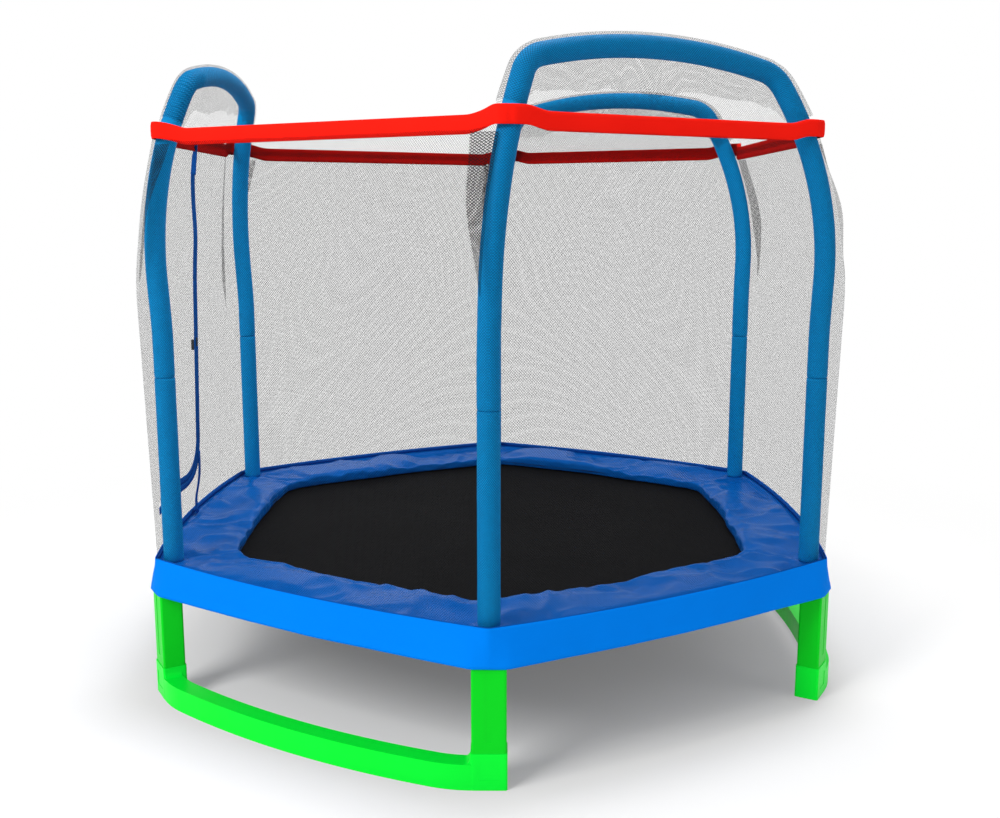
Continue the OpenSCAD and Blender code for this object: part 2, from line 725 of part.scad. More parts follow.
// The room inside the net's surface, smaller by in, and open past the top for a cut
module net_room(in, past) {
  hull() {
    translate([0, 0, net_low]) linear_extrude(slice_h) polygon(outline(net_out - in, 0, 8, 4));
    belly_slice(in);
  }
  hull() {
    belly_slice(in);
    round_uprights(net_hug_z, net_wrap + net_t - in);
  }
  hull() {
    round_uprights(net_hug_z, net_wrap + net_t - in);
    round_uprights(band_mid - slice_h, net_wrap + net_t - in, slice_h + past);
  }
}

module net_shell(t = net_t, proud = 0) {
  difference() {
    net_room(-proud, 0);
    net_room(t - proud, 1);
  }
}

module net_hem() {
  color("#0A4FA0") translate([0, 0, cover_z + fit]) linear_extrude(net_hem_h - fit)
    band_of(net_out, net_out - 2);
}

// The door is on the side between corners 5 and 6. Its zip runs down from the red band,
// bends, and ends beside the pole of corner 6. The cloth below a slant line, from the zip
// at the net's belly to the zip's lower end, folds out as the door.
door_side = 5;
zip_top = band_low - 6;
zip_low = cover_z + zip_low_h;
tape_edge = zip_gap / 2 + tape_w;
tape_proud = 0.3;
fold_from = [zip_offset, net_belly_z - 10];
fold_to = [zip_end, zip_low];
fold_dir = (fold_to - fold_from) / norm(fold_to - fold_from);
fold_side = [fold_dir.y, -fold_dir.x];
fold_gap = 14;

// All the net to the pole's side of the zip, seen square on, moved by d towards the rest
module past_zip(d) {
  polygon(concat(
    [[zip_offset - d, zip_top]],
    arc([zip_offset + zip_bend_r, zip_low + zip_bend_r], zip_bend_r + d, 180, 270, 10),
    [[zip_end, zip_low - d], [zip_end, zip_top]]
  ));
}
// Everything below the slant fold, moved down by d
module below_fold(d) {
  far = 600;
  a = fold_from - fold_dir * far + fold_side * d;
  b = fold_to + fold_dir * far + fold_side * d;
  polygon([a, b, b + fold_side * far, a + fold_side * far]);
}
module tape_plan(d) {
  difference() {
    past_zip(d + tape_w);
    past_zip(d);
  }
}

// Holds a shape drawn square on, as [along the side, height], across the net of the door
module through_door() {
  at_side(door_side) translate([net_belly_r / 2, 0, 0]) rotate([90, 0, 90])
    linear_extrude(net_belly_r) children();
}

module net_wall() {
  color("#CFCFD0", 0.6) difference() {
    net_shell();
    through_door() difference() {
      past_zip(tape_edge + 0.1);
      difference() {
        past_zip(-tape_edge - 0.1);
        below_fold(-1.5);
      }
    }
  }
}

module door_net() {
  color("#CFCFD0", 0.6) intersection() {
    net_shell();
    through_door() intersection() {
      past_zip(-tape_edge - 0.1);
      below_fold(fold_gap);
    }
  }
}

module door_zip_flap() {
  color("#14509A") intersection() {
    net_shell(tape_t, tape_proud);
    through_door() intersection() {
      tape_plan(-tape_edge);
      below_fold(fold_gap);
    }
  }
}

module door_zip_wall() {
  color("#14509A") intersection() {
    net_shell(tape_t, tape_proud);
    through_door() {
      tape_plan(zip_gap / 2);
      difference() {
        tape_plan(-tape_edge);
        below_fold(-1.5);
      }
    }
  }
}

// The net's face on the door side between its low edge and its belly
face_low = [side_x + side_r + net_out, net_low];
face_belly = [(net_belly_r - belly_wrap) * cos(30) + belly_wrap, net_belly_z];
function face_x(z) = face_belly.x + (face_low.x - face_belly.x) * (net_belly_z - z) / (net_belly_z - net_low);
face_lean = atan2(face_low.x - face_belly.x, net_belly_z - net_low);

module zip_slider() {
  z = cover_z + slider_h;
  grip = 1.2;
  bridge = zip_gap - 2 * fit;
  half_t = tape_t / 2 + fit;
  color("#151515") at_side(door_side) translate([face_x(z) + tape_proud - tape_t / 2, zip_offset, z])
    rotate([0, -face_lean, 0]) {
      translate([-half_t - grip, -bridge / 2, 0]) cube([2 * (half_t + grip), bridge, slider_l]);
      translate([half_t, -tape_w, 0]) cube([grip, tape_w, slider_l]);
      translate([-half_t - grip, -tape_w, 0]) cube([grip, tape_w, slider_l]);
      translate([half_t + grip - 0.1, -tape_w / 2 - 3, -slider_l / 2]) cube([1.5, 6, slider_l]);
    }
}

module door_straps() {
  color("#1552B0") at_side(door_side) {
    // Tab beside the zip's upper end, hanging from the red band
    top_x = upright_at(band_low).x + net_wrap + net_t;
    hug_x = upright_at(net_hug_z).x + net_wrap + net_t;
    tab_lean = atan2(hug_x - top_x, band_low - net_hug_z);
    translate([top_x + tape_proud + 0.4, zip_offset - 20, band_low - 1]) rotate([0, -tab_lean, 0])
      translate([0, 0, -60]) cube([1.6, 14, 60]);
    // Strap from the zip's bend down to the net's hem
    z0 = cover_z + 1;
    translate([face_low.x + 0.3, zip_offset + 40, z0]) rotate([0, -face_lean, 0])
      cube([1.4, 12, zip_low - z0 - tape_w - 8]);
  }
}

// The net over an arch: a sheet from the band up the outside, over the top bar and down
// again as a short flap inside. Its sections follow the arch's centre line: each entry is
// a point on that line and the direction of the tube there.
hood_from = band_mid + slice_h;
hood_r = foam_d / 2 + hood_slack;
hood_first = upright_angle(hood_from + 26);
hood_half = concat(
  [for (i = [0:4]) let (a = blend(hood_first, upright_bend, i / 4))
    [on_bend(bend_2, leaned, steep, upright_bend_r, a), turned(leaned, steep, a)]],
  [for (i = [1:4]) let (a = shoulder_turn * i / 4)
    [on_bend(bend_3, steep, rising, shoulder_r, a), turned(steep, rising, a)]],
  [for (i = [1:5]) let (a = top_rise * i / 5)
    [on_bend(bend_4, rising, [0, 1, 0], top_bend_r, a), turned(rising, [0, 1, 0], a)]]
);
hood_foot_x = upright_at(hood_from).x + net_wrap;
flap_share = 0.55;

function hood_section(q, u, r) =
  let (
    n = side_of(u, [1, 0, 0]),
    b = cross(n, u),
    d = sqrt(0.5),
    in = q - r * n
  )
  [
    [hood_foot_x + r - hood_r, q.y, hood_from],
    q + r * n, q + r * d * (n + b), q + r * b, q + r * d * (b - n), in,
    [blend(in.x, hood_foot_x - net_wrap - r, flap_share), in.y, blend(in.z, hood_from, flap_share)]
  ];
function hood_loop(h) = concat(
  hood_section(h[0], h[1], hood_r + net_t),
  backwards(hood_section(h[0], h[1], hood_r))
);
function flipped_loop(l) = [for (p = l) flipped(p)];

module net_hood(k) {
  half = [for (h = hood_half) hood_loop(h)];
  loops = concat(half, [for (i = [len(half) - 2:-1:0]) flipped_loop(half[i])]);
  n = len(loops[0]);
  m = len(loops);
  at_side(arch_side(k)) polyhedron(
    points = [for (l = loops) each l],
    faces = [
      for (i = [0:m - 2], j = [0:n - 1]) let (a = i * n + j, b = i * n + (j + 1) % n)
        each [[a, a + n, b + n], [a, b + n, b]],
      for (j = [0:n / 2 - 2]) let (o = (m - 1) * n, c = n - 1 - j)
        each [[j, j + 1, c - 1], [j, c - 1, c], [o + j, o + c - 1, o + j + 1], [o + j, o + c, o + c - 1]]
    ]
  );
}

// A loose tail of net beside each pole, on the side away from its arch: three rows of two
// points each, at the band, where the net meets the foam, and at the tip
tail_t = 1.6;
tail_gap = 0.5;
function tail_row(p, wrap, z, w) =
  let (q = spun([p.x, p.y], 60)) [[q.x + wrap + tail_gap, q.y - w, z], [q.x + wrap + tail_gap, q.y, z]];
tail_top_z = band_low - 0.6;
tail_low_z = band_low - tail_l;
tail_plan = concat(
  tail_row(upright_at(tail_top_z), net_wrap + net_t, tail_top_z, tail_w),
  tail_row(upright_at(net_hug_z), net_wrap + net_t, net_hug_z, 0.6 * tail_w),
  tail_row((net_belly_r - belly_wrap) * [cos(30), -sin(30)], belly_wrap, tail_low_z, 3)
);

module net_tail(k, s) {
  at_side(base_side(k)) mirror([0, s > 0 ? 0 : 1, 0]) polyhedron(
    points = concat([for (p = tail_plan) p + [tail_t, 0, 0]], tail_plan),
    faces = [
      [6, 7, 1, 0], [10, 4, 5, 11],
      for (i = [0, 2]) each [
        [i, i + 1, i + 3, i + 2], [i + 6, i + 8, i + 9, i + 7],
        [i + 6, i, i + 2, i + 8], [i + 7, i + 9, i + 3, i + 1]
      ]
    ]
  );
}

module band_room(r, past) {
  hull() {
    round_uprights(band_low - past, r, slice_h + past, band_low);
    round_uprights(band_high - slice_h, r, slice_h + past);
  }
}

module top_band() {
  inner = net_wrap + net_t + band_ease;
  color("#FF2015") difference() {
    band_room(inner + band_t, 0);
    band_room(inner, 1);
  }
}

// ---- Draw ---------------------------------------------------------------------------

module base_1() { color("#00FF3C") base(1); }
module base_2() { color("#00FF3C") base(2); }
module base_3() { color("#00FF3C") base(3); }
module leg_cover_1() { color("#00D020") leg_cover(1); }
module leg_cover_2() { color("#00D020") leg_cover(2); }
module leg_cover_3() { color("#00D020") leg_cover(3); }
module leg_cover_4() { color("#00D020") leg_cover(4); }
module leg_cover_5() { color("#00D020") leg_cover(5); }
module leg_cover_6() { color("#00D020") leg_cover(6); }
module leg_tubes() { color("silver") for (k = [1:sides]) leg_tube(k); }
module leg_bolts() { color("silver") for (k = [1:sides]) leg_bolt(k); }
module leg_nuts() { color("silver") for (k = [1:sides]) leg_nut(k); }
module base_screws() { color("silver") for (k = [1:sides]) base_screw(k); }
module frame_rail_1() { color("silver") frame_rail(1); }
module frame_rail_2() { color("silver") frame_rail(2); }
module frame_rail_3() { color("silver") frame_rail(3); }
module frame_rail_4() { color("silver") frame_rail(4); }
module frame_rail_5() { color("silver") frame_rail(5); }
module frame_rail_6() { color("silver") frame_rail(6); }
module corner_socket_1() { color("silver") corner_socket(1); }
module corner_socket_2() { color("silver") corner_socket(2); }
module corner_socket_3() { color("silver") corner_socket(3); }
module corner_socket_4() { color("silver") corner_socket(4); }
module corner_socket_5() { color("silver") corner_socket(5); }
module corner_socket_6() { color("silver") corner_socket(6); }
module rail_screws() { color("silver") for (k = [1:sides], s = [-1, 1]) rail_screw(k, s); }
module springs() {
  color("silver") for (k = [1:sides], i = [1:springs_a_side]) at_spring(k, i) spring();
}
module mat_rings() {
  color("silver") for (k = [1:sides], i = [1:springs_a_side]) at_spring(k, i) mat_ring();
}
module pole_1() { color("silver") pole(1); }
module pole_2() { color("silver") pole(2); }
module pole_3() { color("silver") pole(3); }
module pole_4() { color("silver") pole(4); }
module pole_5() { color("silver") pole(5); }
module pole_6() { color("silver") pole(6); }
module snap_buttons() { color("silver") for (k = [1:sides]) snap_button(k); }
module arch_1() { color("silver") arch(1); }
module arch_2() { color("silver") arch(2); }
module arch_3() { color("silver") arch(3); }
module arch_foam_1() { color("#0076B8") arch_foam(1); }
module arch_foam_2() { color("#0076B8") arch_foam(2); }
module arch_foam_3() { color("#0076B8") arch_foam(3); }
module net_hood_1() { color("#CFCFD0", 0.6) net_hood(1); }
module net_hood_2() { color("#CFCFD0", 0.6) net_hood(2); }
module net_hood_3() { color("#CFCFD0", 0.6) net_hood(3); }
module net_tails() { color("#9A9A9C", 0.8) for (k = [1:3], s = [-1, 1]) net_tail(k, s); }

// Every piece is drawn about the middle of the mat and moved to the middle of the footprint
module seat() { translate([mat_x, 0, 0]) children(); }

seat() base_1();
seat() base_2();
seat() base_3();
seat() leg_cover_1();
seat() leg_cover_2();
seat() leg_cover_3();
seat() leg_cover_4();
seat() leg_cover_5();
seat() leg_cover_6();
seat() leg_tubes();
seat() leg_bolts();
seat() leg_nuts();
seat() base_screws();
seat() frame_rail_1();
seat() frame_rail_2();
seat() frame_rail_3();
seat() frame_rail_4();
seat() frame_rail_5();
seat() frame_rail_6();
seat() corner_socket_1();
seat() corner_socket_2();
seat() corner_socket_3();
seat() corner_socket_4();
seat() corner_socket_5();
seat() corner_socket_6();
seat() rail_screws();
seat() springs();
seat() mat_rings();
seat() mat_hem();
seat() jump_mat();
seat() spring_cover();
seat() cover_backing();
seat() pad_foam();
seat() skirt();
seat() pole_1();
seat() pole_2();
seat() pole_3();
seat() pole_4();
seat() pole_5();
seat() pole_6();
seat() snap_buttons();
seat() arch_1();
seat() arch_2();
seat() arch_3();
seat() pole_foam();
seat() arch_foam_1();
seat() arch_foam_2();
seat() arch_foam_3();
seat() net_hem();
seat() net_wall();
seat() net_hood_1();
seat() net_hood_2();
seat() net_hood_3();
seat() net_tails();
seat() top_band();
seat() door_net();
seat() door_zip_flap();
seat() door_zip_wall();
seat() zip_slider();
seat() door_straps();
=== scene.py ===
# %% [markdown]
# # A six-sided trampoline with a safety net
# The steel frame, the plastic legs and the fasteners come in as exact solids. Everything
# soft is made here in mesh code: the padded spring cover, the skirt, the foam sleeves,
# the net with its hoods, the red band, the zipped door and the jumping mat.
# Lengths in this lesson are in millimetres about the middle of the mat, and one helper
# turns them into metres in the scene.

# %% Load the frame
import math

import bmesh
import bpy
import numpy as np
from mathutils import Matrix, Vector, noise
from mathutils.geometry import convex_hull_2d, delaunay_2d_cdt


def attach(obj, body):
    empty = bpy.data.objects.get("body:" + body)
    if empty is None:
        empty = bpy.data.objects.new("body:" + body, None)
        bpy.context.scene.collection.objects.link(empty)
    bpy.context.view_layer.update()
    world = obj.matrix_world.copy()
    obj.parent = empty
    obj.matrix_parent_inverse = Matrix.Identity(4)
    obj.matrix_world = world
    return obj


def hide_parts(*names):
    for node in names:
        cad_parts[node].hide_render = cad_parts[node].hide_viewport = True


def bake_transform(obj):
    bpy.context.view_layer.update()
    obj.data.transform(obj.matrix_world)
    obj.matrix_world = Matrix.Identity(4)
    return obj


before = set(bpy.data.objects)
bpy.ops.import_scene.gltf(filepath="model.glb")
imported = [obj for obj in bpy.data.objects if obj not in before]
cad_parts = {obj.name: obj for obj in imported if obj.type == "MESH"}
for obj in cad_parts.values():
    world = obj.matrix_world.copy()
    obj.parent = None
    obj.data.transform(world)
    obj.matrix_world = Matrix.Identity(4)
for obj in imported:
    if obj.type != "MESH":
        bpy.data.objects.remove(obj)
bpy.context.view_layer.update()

# %% [markdown]
# ## Camera and light
# The camera stands 3.5 m in front of the trampoline, a little above its top bars, and
# looks slightly down. A real studio lights such a product with big soft boxes in front of
# a white sweep. Here the world gives the even part of that light, and four area lamps
# give it a direction, so that folds and tubes get a soft highlight.

# %% Camera
scene = bpy.context.scene
camera = bpy.data.objects.new("camera", bpy.data.cameras.new("camera"))
scene.collection.objects.link(camera)
camera.location = (0.0068, -3.4954, 1.3245)
camera.rotation_euler = (math.radians(80.04), 0, math.radians(0.09))
camera.data.sensor_width = 36
camera.data.lens = 41.03
scene.camera = camera
scene.view_settings.view_transform = "Standard"
print("camera at", tuple(camera.location))

# %% Soft boxes
def soft_box(name, place, target, size, power):
    lamp = bpy.data.lights.new(name, "AREA")
    lamp.shape, lamp.size, lamp.energy = "SQUARE", size, power
    obj = bpy.data.objects.new(name, lamp)
    obj.visible_camera = False
    scene.collection.objects.link(obj)
    obj.location = place
    obj.rotation_euler = (Vector(target) - Vector(place)).to_track_quat("-Z", "Y").to_euler()


soft_box("key_light", (-3.2, -3.6, 3.6), (0, 0, 0.6), 2.2, 175)
soft_box("top_light", (0.6, 0.8, 4.6), (0, 0, 0.3), 2.6, 130)
soft_box("fill_light", (4.2, -2.2, 2.6), (0, 0, 0.7), 2.4, 18)
soft_box("back_light", (-0.8, 4.6, 2.5), (0, 0, 0.4), 1.8, 15)
print("key, top, fill and back light placed")

# %% [markdown]
# ## Nodes for the light and the finishes
# The world, the floor and every finish are small node trees. A few helpers keep them
# short: one adds a node and plugs in its inputs, one does arithmetic, and one opens a
# node group.

# %% Node helpers
def colour(hex_code):
    """A screen colour such as #0050A0 as the linear colour that a shader wants."""
    parts = [int(hex_code[i:i + 2], 16) / 255 for i in (1, 3, 5)]
    linear = [c / 12.92 if c <= 0.04045 else ((c + 0.055) / 1.055) ** 2.4 for c in parts]
    return (*linear, 1)


def add(tree, kind, values=None, **settings):
    """A shader node, with its settings, and a link or a constant for each input in values."""
    node = tree.nodes.new("ShaderNode" + kind)
    for key, value in settings.items():
        setattr(node, key, value)
    for key, value in (values or {}).items():
        if isinstance(value, bpy.types.NodeSocket):
            tree.links.new(value, node.inputs[key])
        else:
            node.inputs[key].default_value = value
    return node


def group(name, inputs, outputs):
    """An empty node group, with what comes into it and what goes out."""
    tree = bpy.data.node_groups.new(name, "ShaderNodeTree")
    kinds = {"vector": "NodeSocketVector", "value": "NodeSocketFloat", "colour": "NodeSocketColor"}
    for label, kind, default in inputs:
        socket = tree.interface.new_socket(label, in_out="INPUT", socket_type=kinds[kind])
        if default is not None:
            socket.default_value = default
    for label, kind in outputs:
        tree.interface.new_socket(label, in_out="OUTPUT", socket_type=kinds[kind])
    return tree, tree.nodes.new("NodeGroupInput").outputs, tree.nodes.new("NodeGroupOutput").inputs


def math_node(tree, operation, a, b=None, c=None):
    values = {0: a}
    if b is not None:
        values[1] = b
    if c is not None:
        values[2] = c
    return add(tree, "Math", values, operation=operation).outputs[0]


# %% World
def seen_directly(tree):
    """1 where the camera, a reflection or a clear surface looks at it, 0 where it only lights."""
    paths = add(tree, "LightPath").outputs
    mirrored = math_node(tree, "MAXIMUM", paths["Is Glossy Ray"], paths["Is Transmission Ray"])
    return math_node(tree, "MAXIMUM", paths["Is Camera Ray"], mirrored)


SKY_STRENGTH = 0.55
world = bpy.data.worlds.new("studio")
scene.world = world
world.use_nodes = True
sky = world.node_tree
sky.nodes.clear()
light = add(sky, "Background", {"Color": (0.97, 0.98, 1, 1), "Strength": SKY_STRENGTH})
backdrop = add(sky, "Background", {"Color": (1, 1, 1, 1)})
choice = add(sky, "MixShader", {0: seen_directly(sky), 1: light.outputs[0], 2: backdrop.outputs[0]})
add(sky, "OutputWorld", {"Surface": choice.outputs[0]})
print("world light", SKY_STRENGTH)

# %% [markdown]
# ## Materials
# Each finish is one Principled BSDF. What several finishes share, such as a woven
# texture or uneven dye, is a node group that is built once and gets its own numbers in
# each material. Cloth pieces carry a UV map in metres, so a weave keeps its real size.

# %% Uneven dye
dye, took, gave = group(
    "uneven_dye", [("Vector", "vector", None), ("Size", "value", 6.0),
                   ("Dark", "colour", (0.4, 0.4, 0.4, 1)), ("Light", "colour", (0.6, 0.6, 0.6, 1))],
    [("Colour", "colour"), ("Mask", "value")])
broad = add(dye, "TexNoise", {"Vector": took["Vector"], "Scale": took["Size"], "Detail": 4.0})
mix = add(dye, "Mix", {"Factor": broad.outputs["Fac"], 6: took["Dark"], 7: took["Light"]},
          data_type="RGBA")
dye.links.new(mix.outputs[2], gave["Colour"])
dye.links.new(broad.outputs["Fac"], gave["Mask"])

# %% Woven threads
weave, took, gave = group(
    "woven_threads", [("Vector", "vector", None), ("Threads", "value", 900.0)],
    [("Height", "value")])
scaled = add(weave, "VectorMath", {0: took["Vector"], 3: took["Threads"]},
             operation="SCALE").outputs[0]
split = add(weave, "SeparateXYZ", {0: scaled}).outputs
warp = math_node(weave, "SINE", math_node(weave, "MULTIPLY", split[0], math.pi))
weft = math_node(weave, "SINE", math_node(weave, "MULTIPLY", split[1], math.pi))
crossed = math_node(weave, "MULTIPLY", warp, weft)
threads = math_node(weave, "MULTIPLY_ADD", crossed, 0.5, 0.5)
weave.links.new(threads, gave["Height"])

# %% Knitted net
net_group, took, gave = group(
    "knitted_net", [("Vector", "vector", None), ("Pitch", "value", 0.0047),
                    ("Strand", "value", 0.11)], [("Alpha", "value")])
split = add(net_group, "SeparateXYZ", {0: took["Vector"]}).outputs
strands = []
for sign in ("ADD", "SUBTRACT"):
    turned_by = math_node(net_group, sign, split[0], split[1])
    place = math_node(net_group, "FRACT", math_node(net_group, "DIVIDE", turned_by, took["Pitch"]))
    strands.append(math_node(net_group, "LESS_THAN", place, took["Strand"]))
net_group.links.new(math_node(net_group, "MAXIMUM", *strands), gave["Alpha"])

# %% Pressed grain
grain, took, gave = group(
    "pressed_grain", [("Vector", "vector", None), ("Size", "value", 300.0)],
    [("Height", "value")])
cells = add(grain, "TexVoronoi", {"Vector": took["Vector"], "Scale": took["Size"]},
            feature="SMOOTH_F1")
grain.links.new(cells.outputs["Distance"], gave["Height"])
print("node groups:", [g.name for g in bpy.data.node_groups])

# %% The body of a material
def material(name, roughness, metallic=0.0, **extra):
    """One Principled BSDF; extra holds other sockets' constants, with _ for a space."""
    m = bpy.data.materials.new(name)
    m.use_nodes = True
    m.node_tree.nodes.clear()
    bsdf = add(m.node_tree, "BsdfPrincipled", {"Roughness": roughness, "Metallic": metallic,
        **{k.replace("_", " "): v for k, v in extra.items()}})
    add(m.node_tree, "OutputMaterial", {"Surface": bsdf.outputs[0]})
    return m, m.node_tree, bsdf


def placed(tree, kind="Object"):
    return add(tree, "TexCoord").outputs[kind]


def use(tree, shared, values):
    """Places a node group with this material's own values."""
    return add(tree, "Group", values, node_tree=shared).outputs


def dyed(tree, bsdf, where, dark, light, size):
    outs = use(tree, dye, {"Vector": where, "Size": size,
                           "Dark": colour(dark), "Light": colour(light)})
    tree.links.new(outs["Colour"], bsdf.inputs["Base Color"])
    return outs["Mask"]


def bumped(tree, bsdf, height, distance, strength, first=None):
    """A bump on the surface's normal, on top of another one if first is given."""
    values = {"Height": height, "Distance": distance, "Strength": strength}
    if first is not None:
        values["Normal"] = first
    node = add(tree, "Bump", values)
    tree.links.new(node.outputs[0], bsdf.inputs["Normal"])
    return node.outputs[0]


def rough_by(tree, bsdf, mask, low, high):
    spread = add(tree, "MapRange", {"Value": mask, "From Min": 0.3, "From Max": 0.7,
                                    "To Min": low, "To Max": high})
    tree.links.new(spread.outputs[0], bsdf.inputs["Roughness"])


# %% [markdown]
# ### Hard finishes
# The bases and legs are bright moulded plastic with a fine spark-eroded grain. The
# steel is zinc plated, so it is a metal whose sheen changes in soft patches.

# %% Plastic and steel
finish = {}


def dyed_finish(name, roughness, dark, light, size, space="Object", spread=None, **extra):
    """A finish in uneven dye; spread lets its roughness change with the dye."""
    finish[name], tree, bsdf = material(name, roughness, **extra)
    where = placed(tree, space)
    mask = dyed(tree, bsdf, where, dark, light, size)
    if spread:
        rough_by(tree, bsdf, mask, *spread)
    return tree, bsdf, where


def grained(tree, bsdf, where, size, distance, strength):
    height = use(tree, grain, {"Vector": where, "Size": size})["Height"]
    return bumped(tree, bsdf, height, distance, strength)


def moulded(name, dark, light):
    tree, bsdf, where = dyed_finish(name, 0.36, dark, light, 5.0, spread=(0.3, 0.42),
                                    IOR=1.3, Specular_IOR_Level=0.2)
    grained(tree, bsdf, where, 900.0, 0.0002, 0.35)


def plated(name, dark, light, roughness):
    tree, bsdf, where = dyed_finish(name, roughness, dark, light, 25.0,
                                    spread=(roughness - 0.08, roughness + 0.12), metallic=1.0)
    fine = add(tree, "TexNoise", {"Vector": where, "Scale": 700.0, "Detail": 2.0})
    bumped(tree, bsdf, fine.outputs["Fac"], 0.0001, 0.3)


moulded("base_plastic", "#00F430", "#04FF3C")
moulded("leg_plastic", "#00D01A", "#02DC24")
plated("frame_steel", "#A8ABAD", "#C6C8C8", 0.38)
plated("spring_steel", "#B4B6B6", "#D2D2CE", 0.3)
plated("fasteners", "#9A9C9E", "#BDBEBC", 0.34)

# %% [markdown]
# ### Soft finishes
# The mat is a tight black weave. The skirt and the webbings are woven too, with coarser
# threads. The vinyl of the cover is satin with a pressed grain, and the foam sleeves have
# a pebbled skin. The net is clear except along its strands, which is what Alpha is for.

# %% Woven cloths
def woven(name, dark, light, threads, roughness, height=0.0003, tone=7.0):
    tree, bsdf, where = dyed_finish(name, roughness, dark, light, tone, "UV",
                                    IOR=1.25, Specular_IOR_Level=0.05)
    outs = use(tree, weave, {"Vector": where, "Threads": threads})
    bumped(tree, bsdf, outs["Height"], height, 0.6)


woven("mat_cloth", "#0B0B0C", "#151516", 350.0, 0.7, tone=4.0)
woven("mat_webbing", "#111112", "#1C1C1E", 500.0, 0.8, 0.0005)
woven("skirt_cloth", "#0078E2", "#0080EE", 900.0, 0.72, 0.0002, 3.0)
woven("net_webbing", "#0C4A96", "#1256AC", 500.0, 0.75, 0.0004)
woven("red_webbing", "#F41A10", "#FF2013", 600.0, 0.7)
# The band's inside: the red webbing darkened, as painted shade
woven("red_inside_painted_shade", "#9E0A05", "#BE0E08", 600.0, 0.8)
woven("zip_tape", "#10509E", "#1A60B4", 800.0, 0.8)
woven("backing_cloth", "#141C2C", "#1C2638", 500.0, 0.85)

# %% Vinyl, foam and slider
tree, bsdf, where = dyed_finish("cover_vinyl", 0.3, "#0050A0", "#0060B8", 7.0, spread=(0.24, 0.34),
                                IOR=1.16, Specular_IOR_Level=0.22)
first = grained(tree, bsdf, where, 420.0, 0.0003, 0.3)
crease = add(tree, "TexNoise", {"Vector": where, "Scale": 20.0, "Detail": 2.0, "Distortion": 0.6})
bumped(tree, bsdf, crease.outputs["Fac"], 0.003, 0.1, first)

tree, bsdf, where = dyed_finish("sleeve_foam", 0.6, "#0082C0", "#0290D4", 60.0,
                                Specular_IOR_Level=0.08)
first = grained(tree, bsdf, where, 260.0, 0.0012, 0.5)
dimples = add(tree, "TexNoise", {"Vector": where, "Scale": 140.0, "Detail": 2.0})
bumped(tree, bsdf, dimples.outputs["Fac"], 0.0016, 0.5, first)

dyed_finish("zip_slider", 0.35, "#101010", "#242424", 90.0, spread=(0.28, 0.42))

# %% Net cloth
NET_PITCH = 6.5


def netting(name, strand):
    tree, bsdf, where = dyed_finish(name, 0.8, "#050506", "#101012", 9.0, "UV",
                                    Specular_IOR_Level=0.05)
    values = {"Vector": where, "Pitch": NET_PITCH / 1000, "Strand": strand}
    tree.links.new(use(tree, net_group, values)["Alpha"], bsdf.inputs["Alpha"])


netting("net_mesh", 0.123)
netting("net_double", 0.3)
print(len(finish), "finishes")

# %% Dress the solid pieces
SOLID_FINISH = {
    "fasteners": ("leg_bolts", "leg_nuts", "base_screws", "rail_screws", "snap_buttons"),
    "base_plastic": ("base_",),
    "leg_plastic": ("leg_cover",),
    "frame_steel": ("frame_rail", "corner_socket", "leg_tubes", "pole_", "arch_"),
}
dressed = 0
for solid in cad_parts.values():
    fits = [key for key, starts in SOLID_FINISH.items() if solid.name.startswith(starts)]
    if not fits or "foam" in solid.name:
        continue
    slots = solid.data.materials
    for i in range(max(1, len(slots))):
        if len(slots) <= i:
            slots.append(finish[fits[0]])
        else:
            slots[i] = finish[fits[0]]
    # Bright green plastic would tint a white floor more than it does in a studio
    if fits[0] in ("base_plastic", "leg_plastic"):
        solid.visible_diffuse = False
    dressed += 1
print(dressed, "solid pieces dressed")

# %% [markdown]
# ## The plan of the trampoline
# The frame is a hexagon whose six rails bow out, so each side is an arc about a point
# across the mat. Corner k is at 60 k - 150 degrees and side k, from corner k to corner
# k + 1, faces 60 k - 120 degrees. Odd sides carry an arch and even sides a floor base.

# %% Plan values and turns
def cosd(degrees):
    return math.cos(math.radians(degrees))


def sind(degrees):
    return math.sin(math.radians(degrees))


MAT_X = -22.49
CORNER_R, RAIL_BOW = 1022.0, 37.0
SIDE_R = ((CORNER_R / 2) ** 2 + RAIL_BOW ** 2) / (2 * RAIL_BOW)
SIDE_X = CORNER_R * cosd(30) + RAIL_BOW - SIDE_R
SIDE_REACH = math.degrees(math.asin(CORNER_R / 2 / SIDE_R))
COVER_Z, RAIL_Z = 380.0, 341.7
POLE_R = 1000.0
SIDES = range(1, 7)


def spun(points, degrees):
    """Points turned about the upright axis."""
    p = np.asarray(points, float)
    c, s = cosd(degrees), sind(degrees)
    return np.stack([p[..., 0] * c - p[..., 1] * s, p[..., 0] * s + p[..., 1] * c, p[..., 2]], -1)


def at_side(k, points):
    """From side k's own frame (x outward, y along it) to the plan."""
    return spun(points, 60 * k - 120)


def in_scene(points):
    """From mm about the mat's middle to metres in the scene."""
    return (np.asarray(points, float) + (MAT_X, 0, 0)) / 1000


def smooth(t):
    """A soft step from 0 to 1."""
    t = np.clip(t, 0, 1)
    return t * t * (3 - 2 * t)


def wander(x, y, z):
    """Soft noise from -1 to 1 at a place."""
    return noise.noise(Vector((x, y, z)))


print("side radius", round(SIDE_R, 1), "reach", round(SIDE_REACH, 2))

# %% From points to a mesh
def piece(name, points, faces, slots, uv=None, face_slot=None):
    """An object from points and UVs in mm, with one material for each name in slots."""
    mesh = bpy.data.meshes.new(name)
    mesh.from_pydata(in_scene(points).tolist(), [], faces)
    if uv is not None and len(uv):
        layer = mesh.uv_layers.new(name="cloth")
        layer.data.foreach_set("uv", (np.asarray(uv, float).reshape(-1, 2) / 1000).ravel())
    for key in slots:
        mesh.materials.append(finish[key])
    if face_slot is not None:
        mesh.polygons.foreach_set("material_index", face_slot)
    mesh.polygons.foreach_set("use_smooth", [True] * len(mesh.polygons))
    mesh.update()
    obj = bpy.data.objects.new(name, mesh)
    scene.collection.objects.link(obj)
    return obj


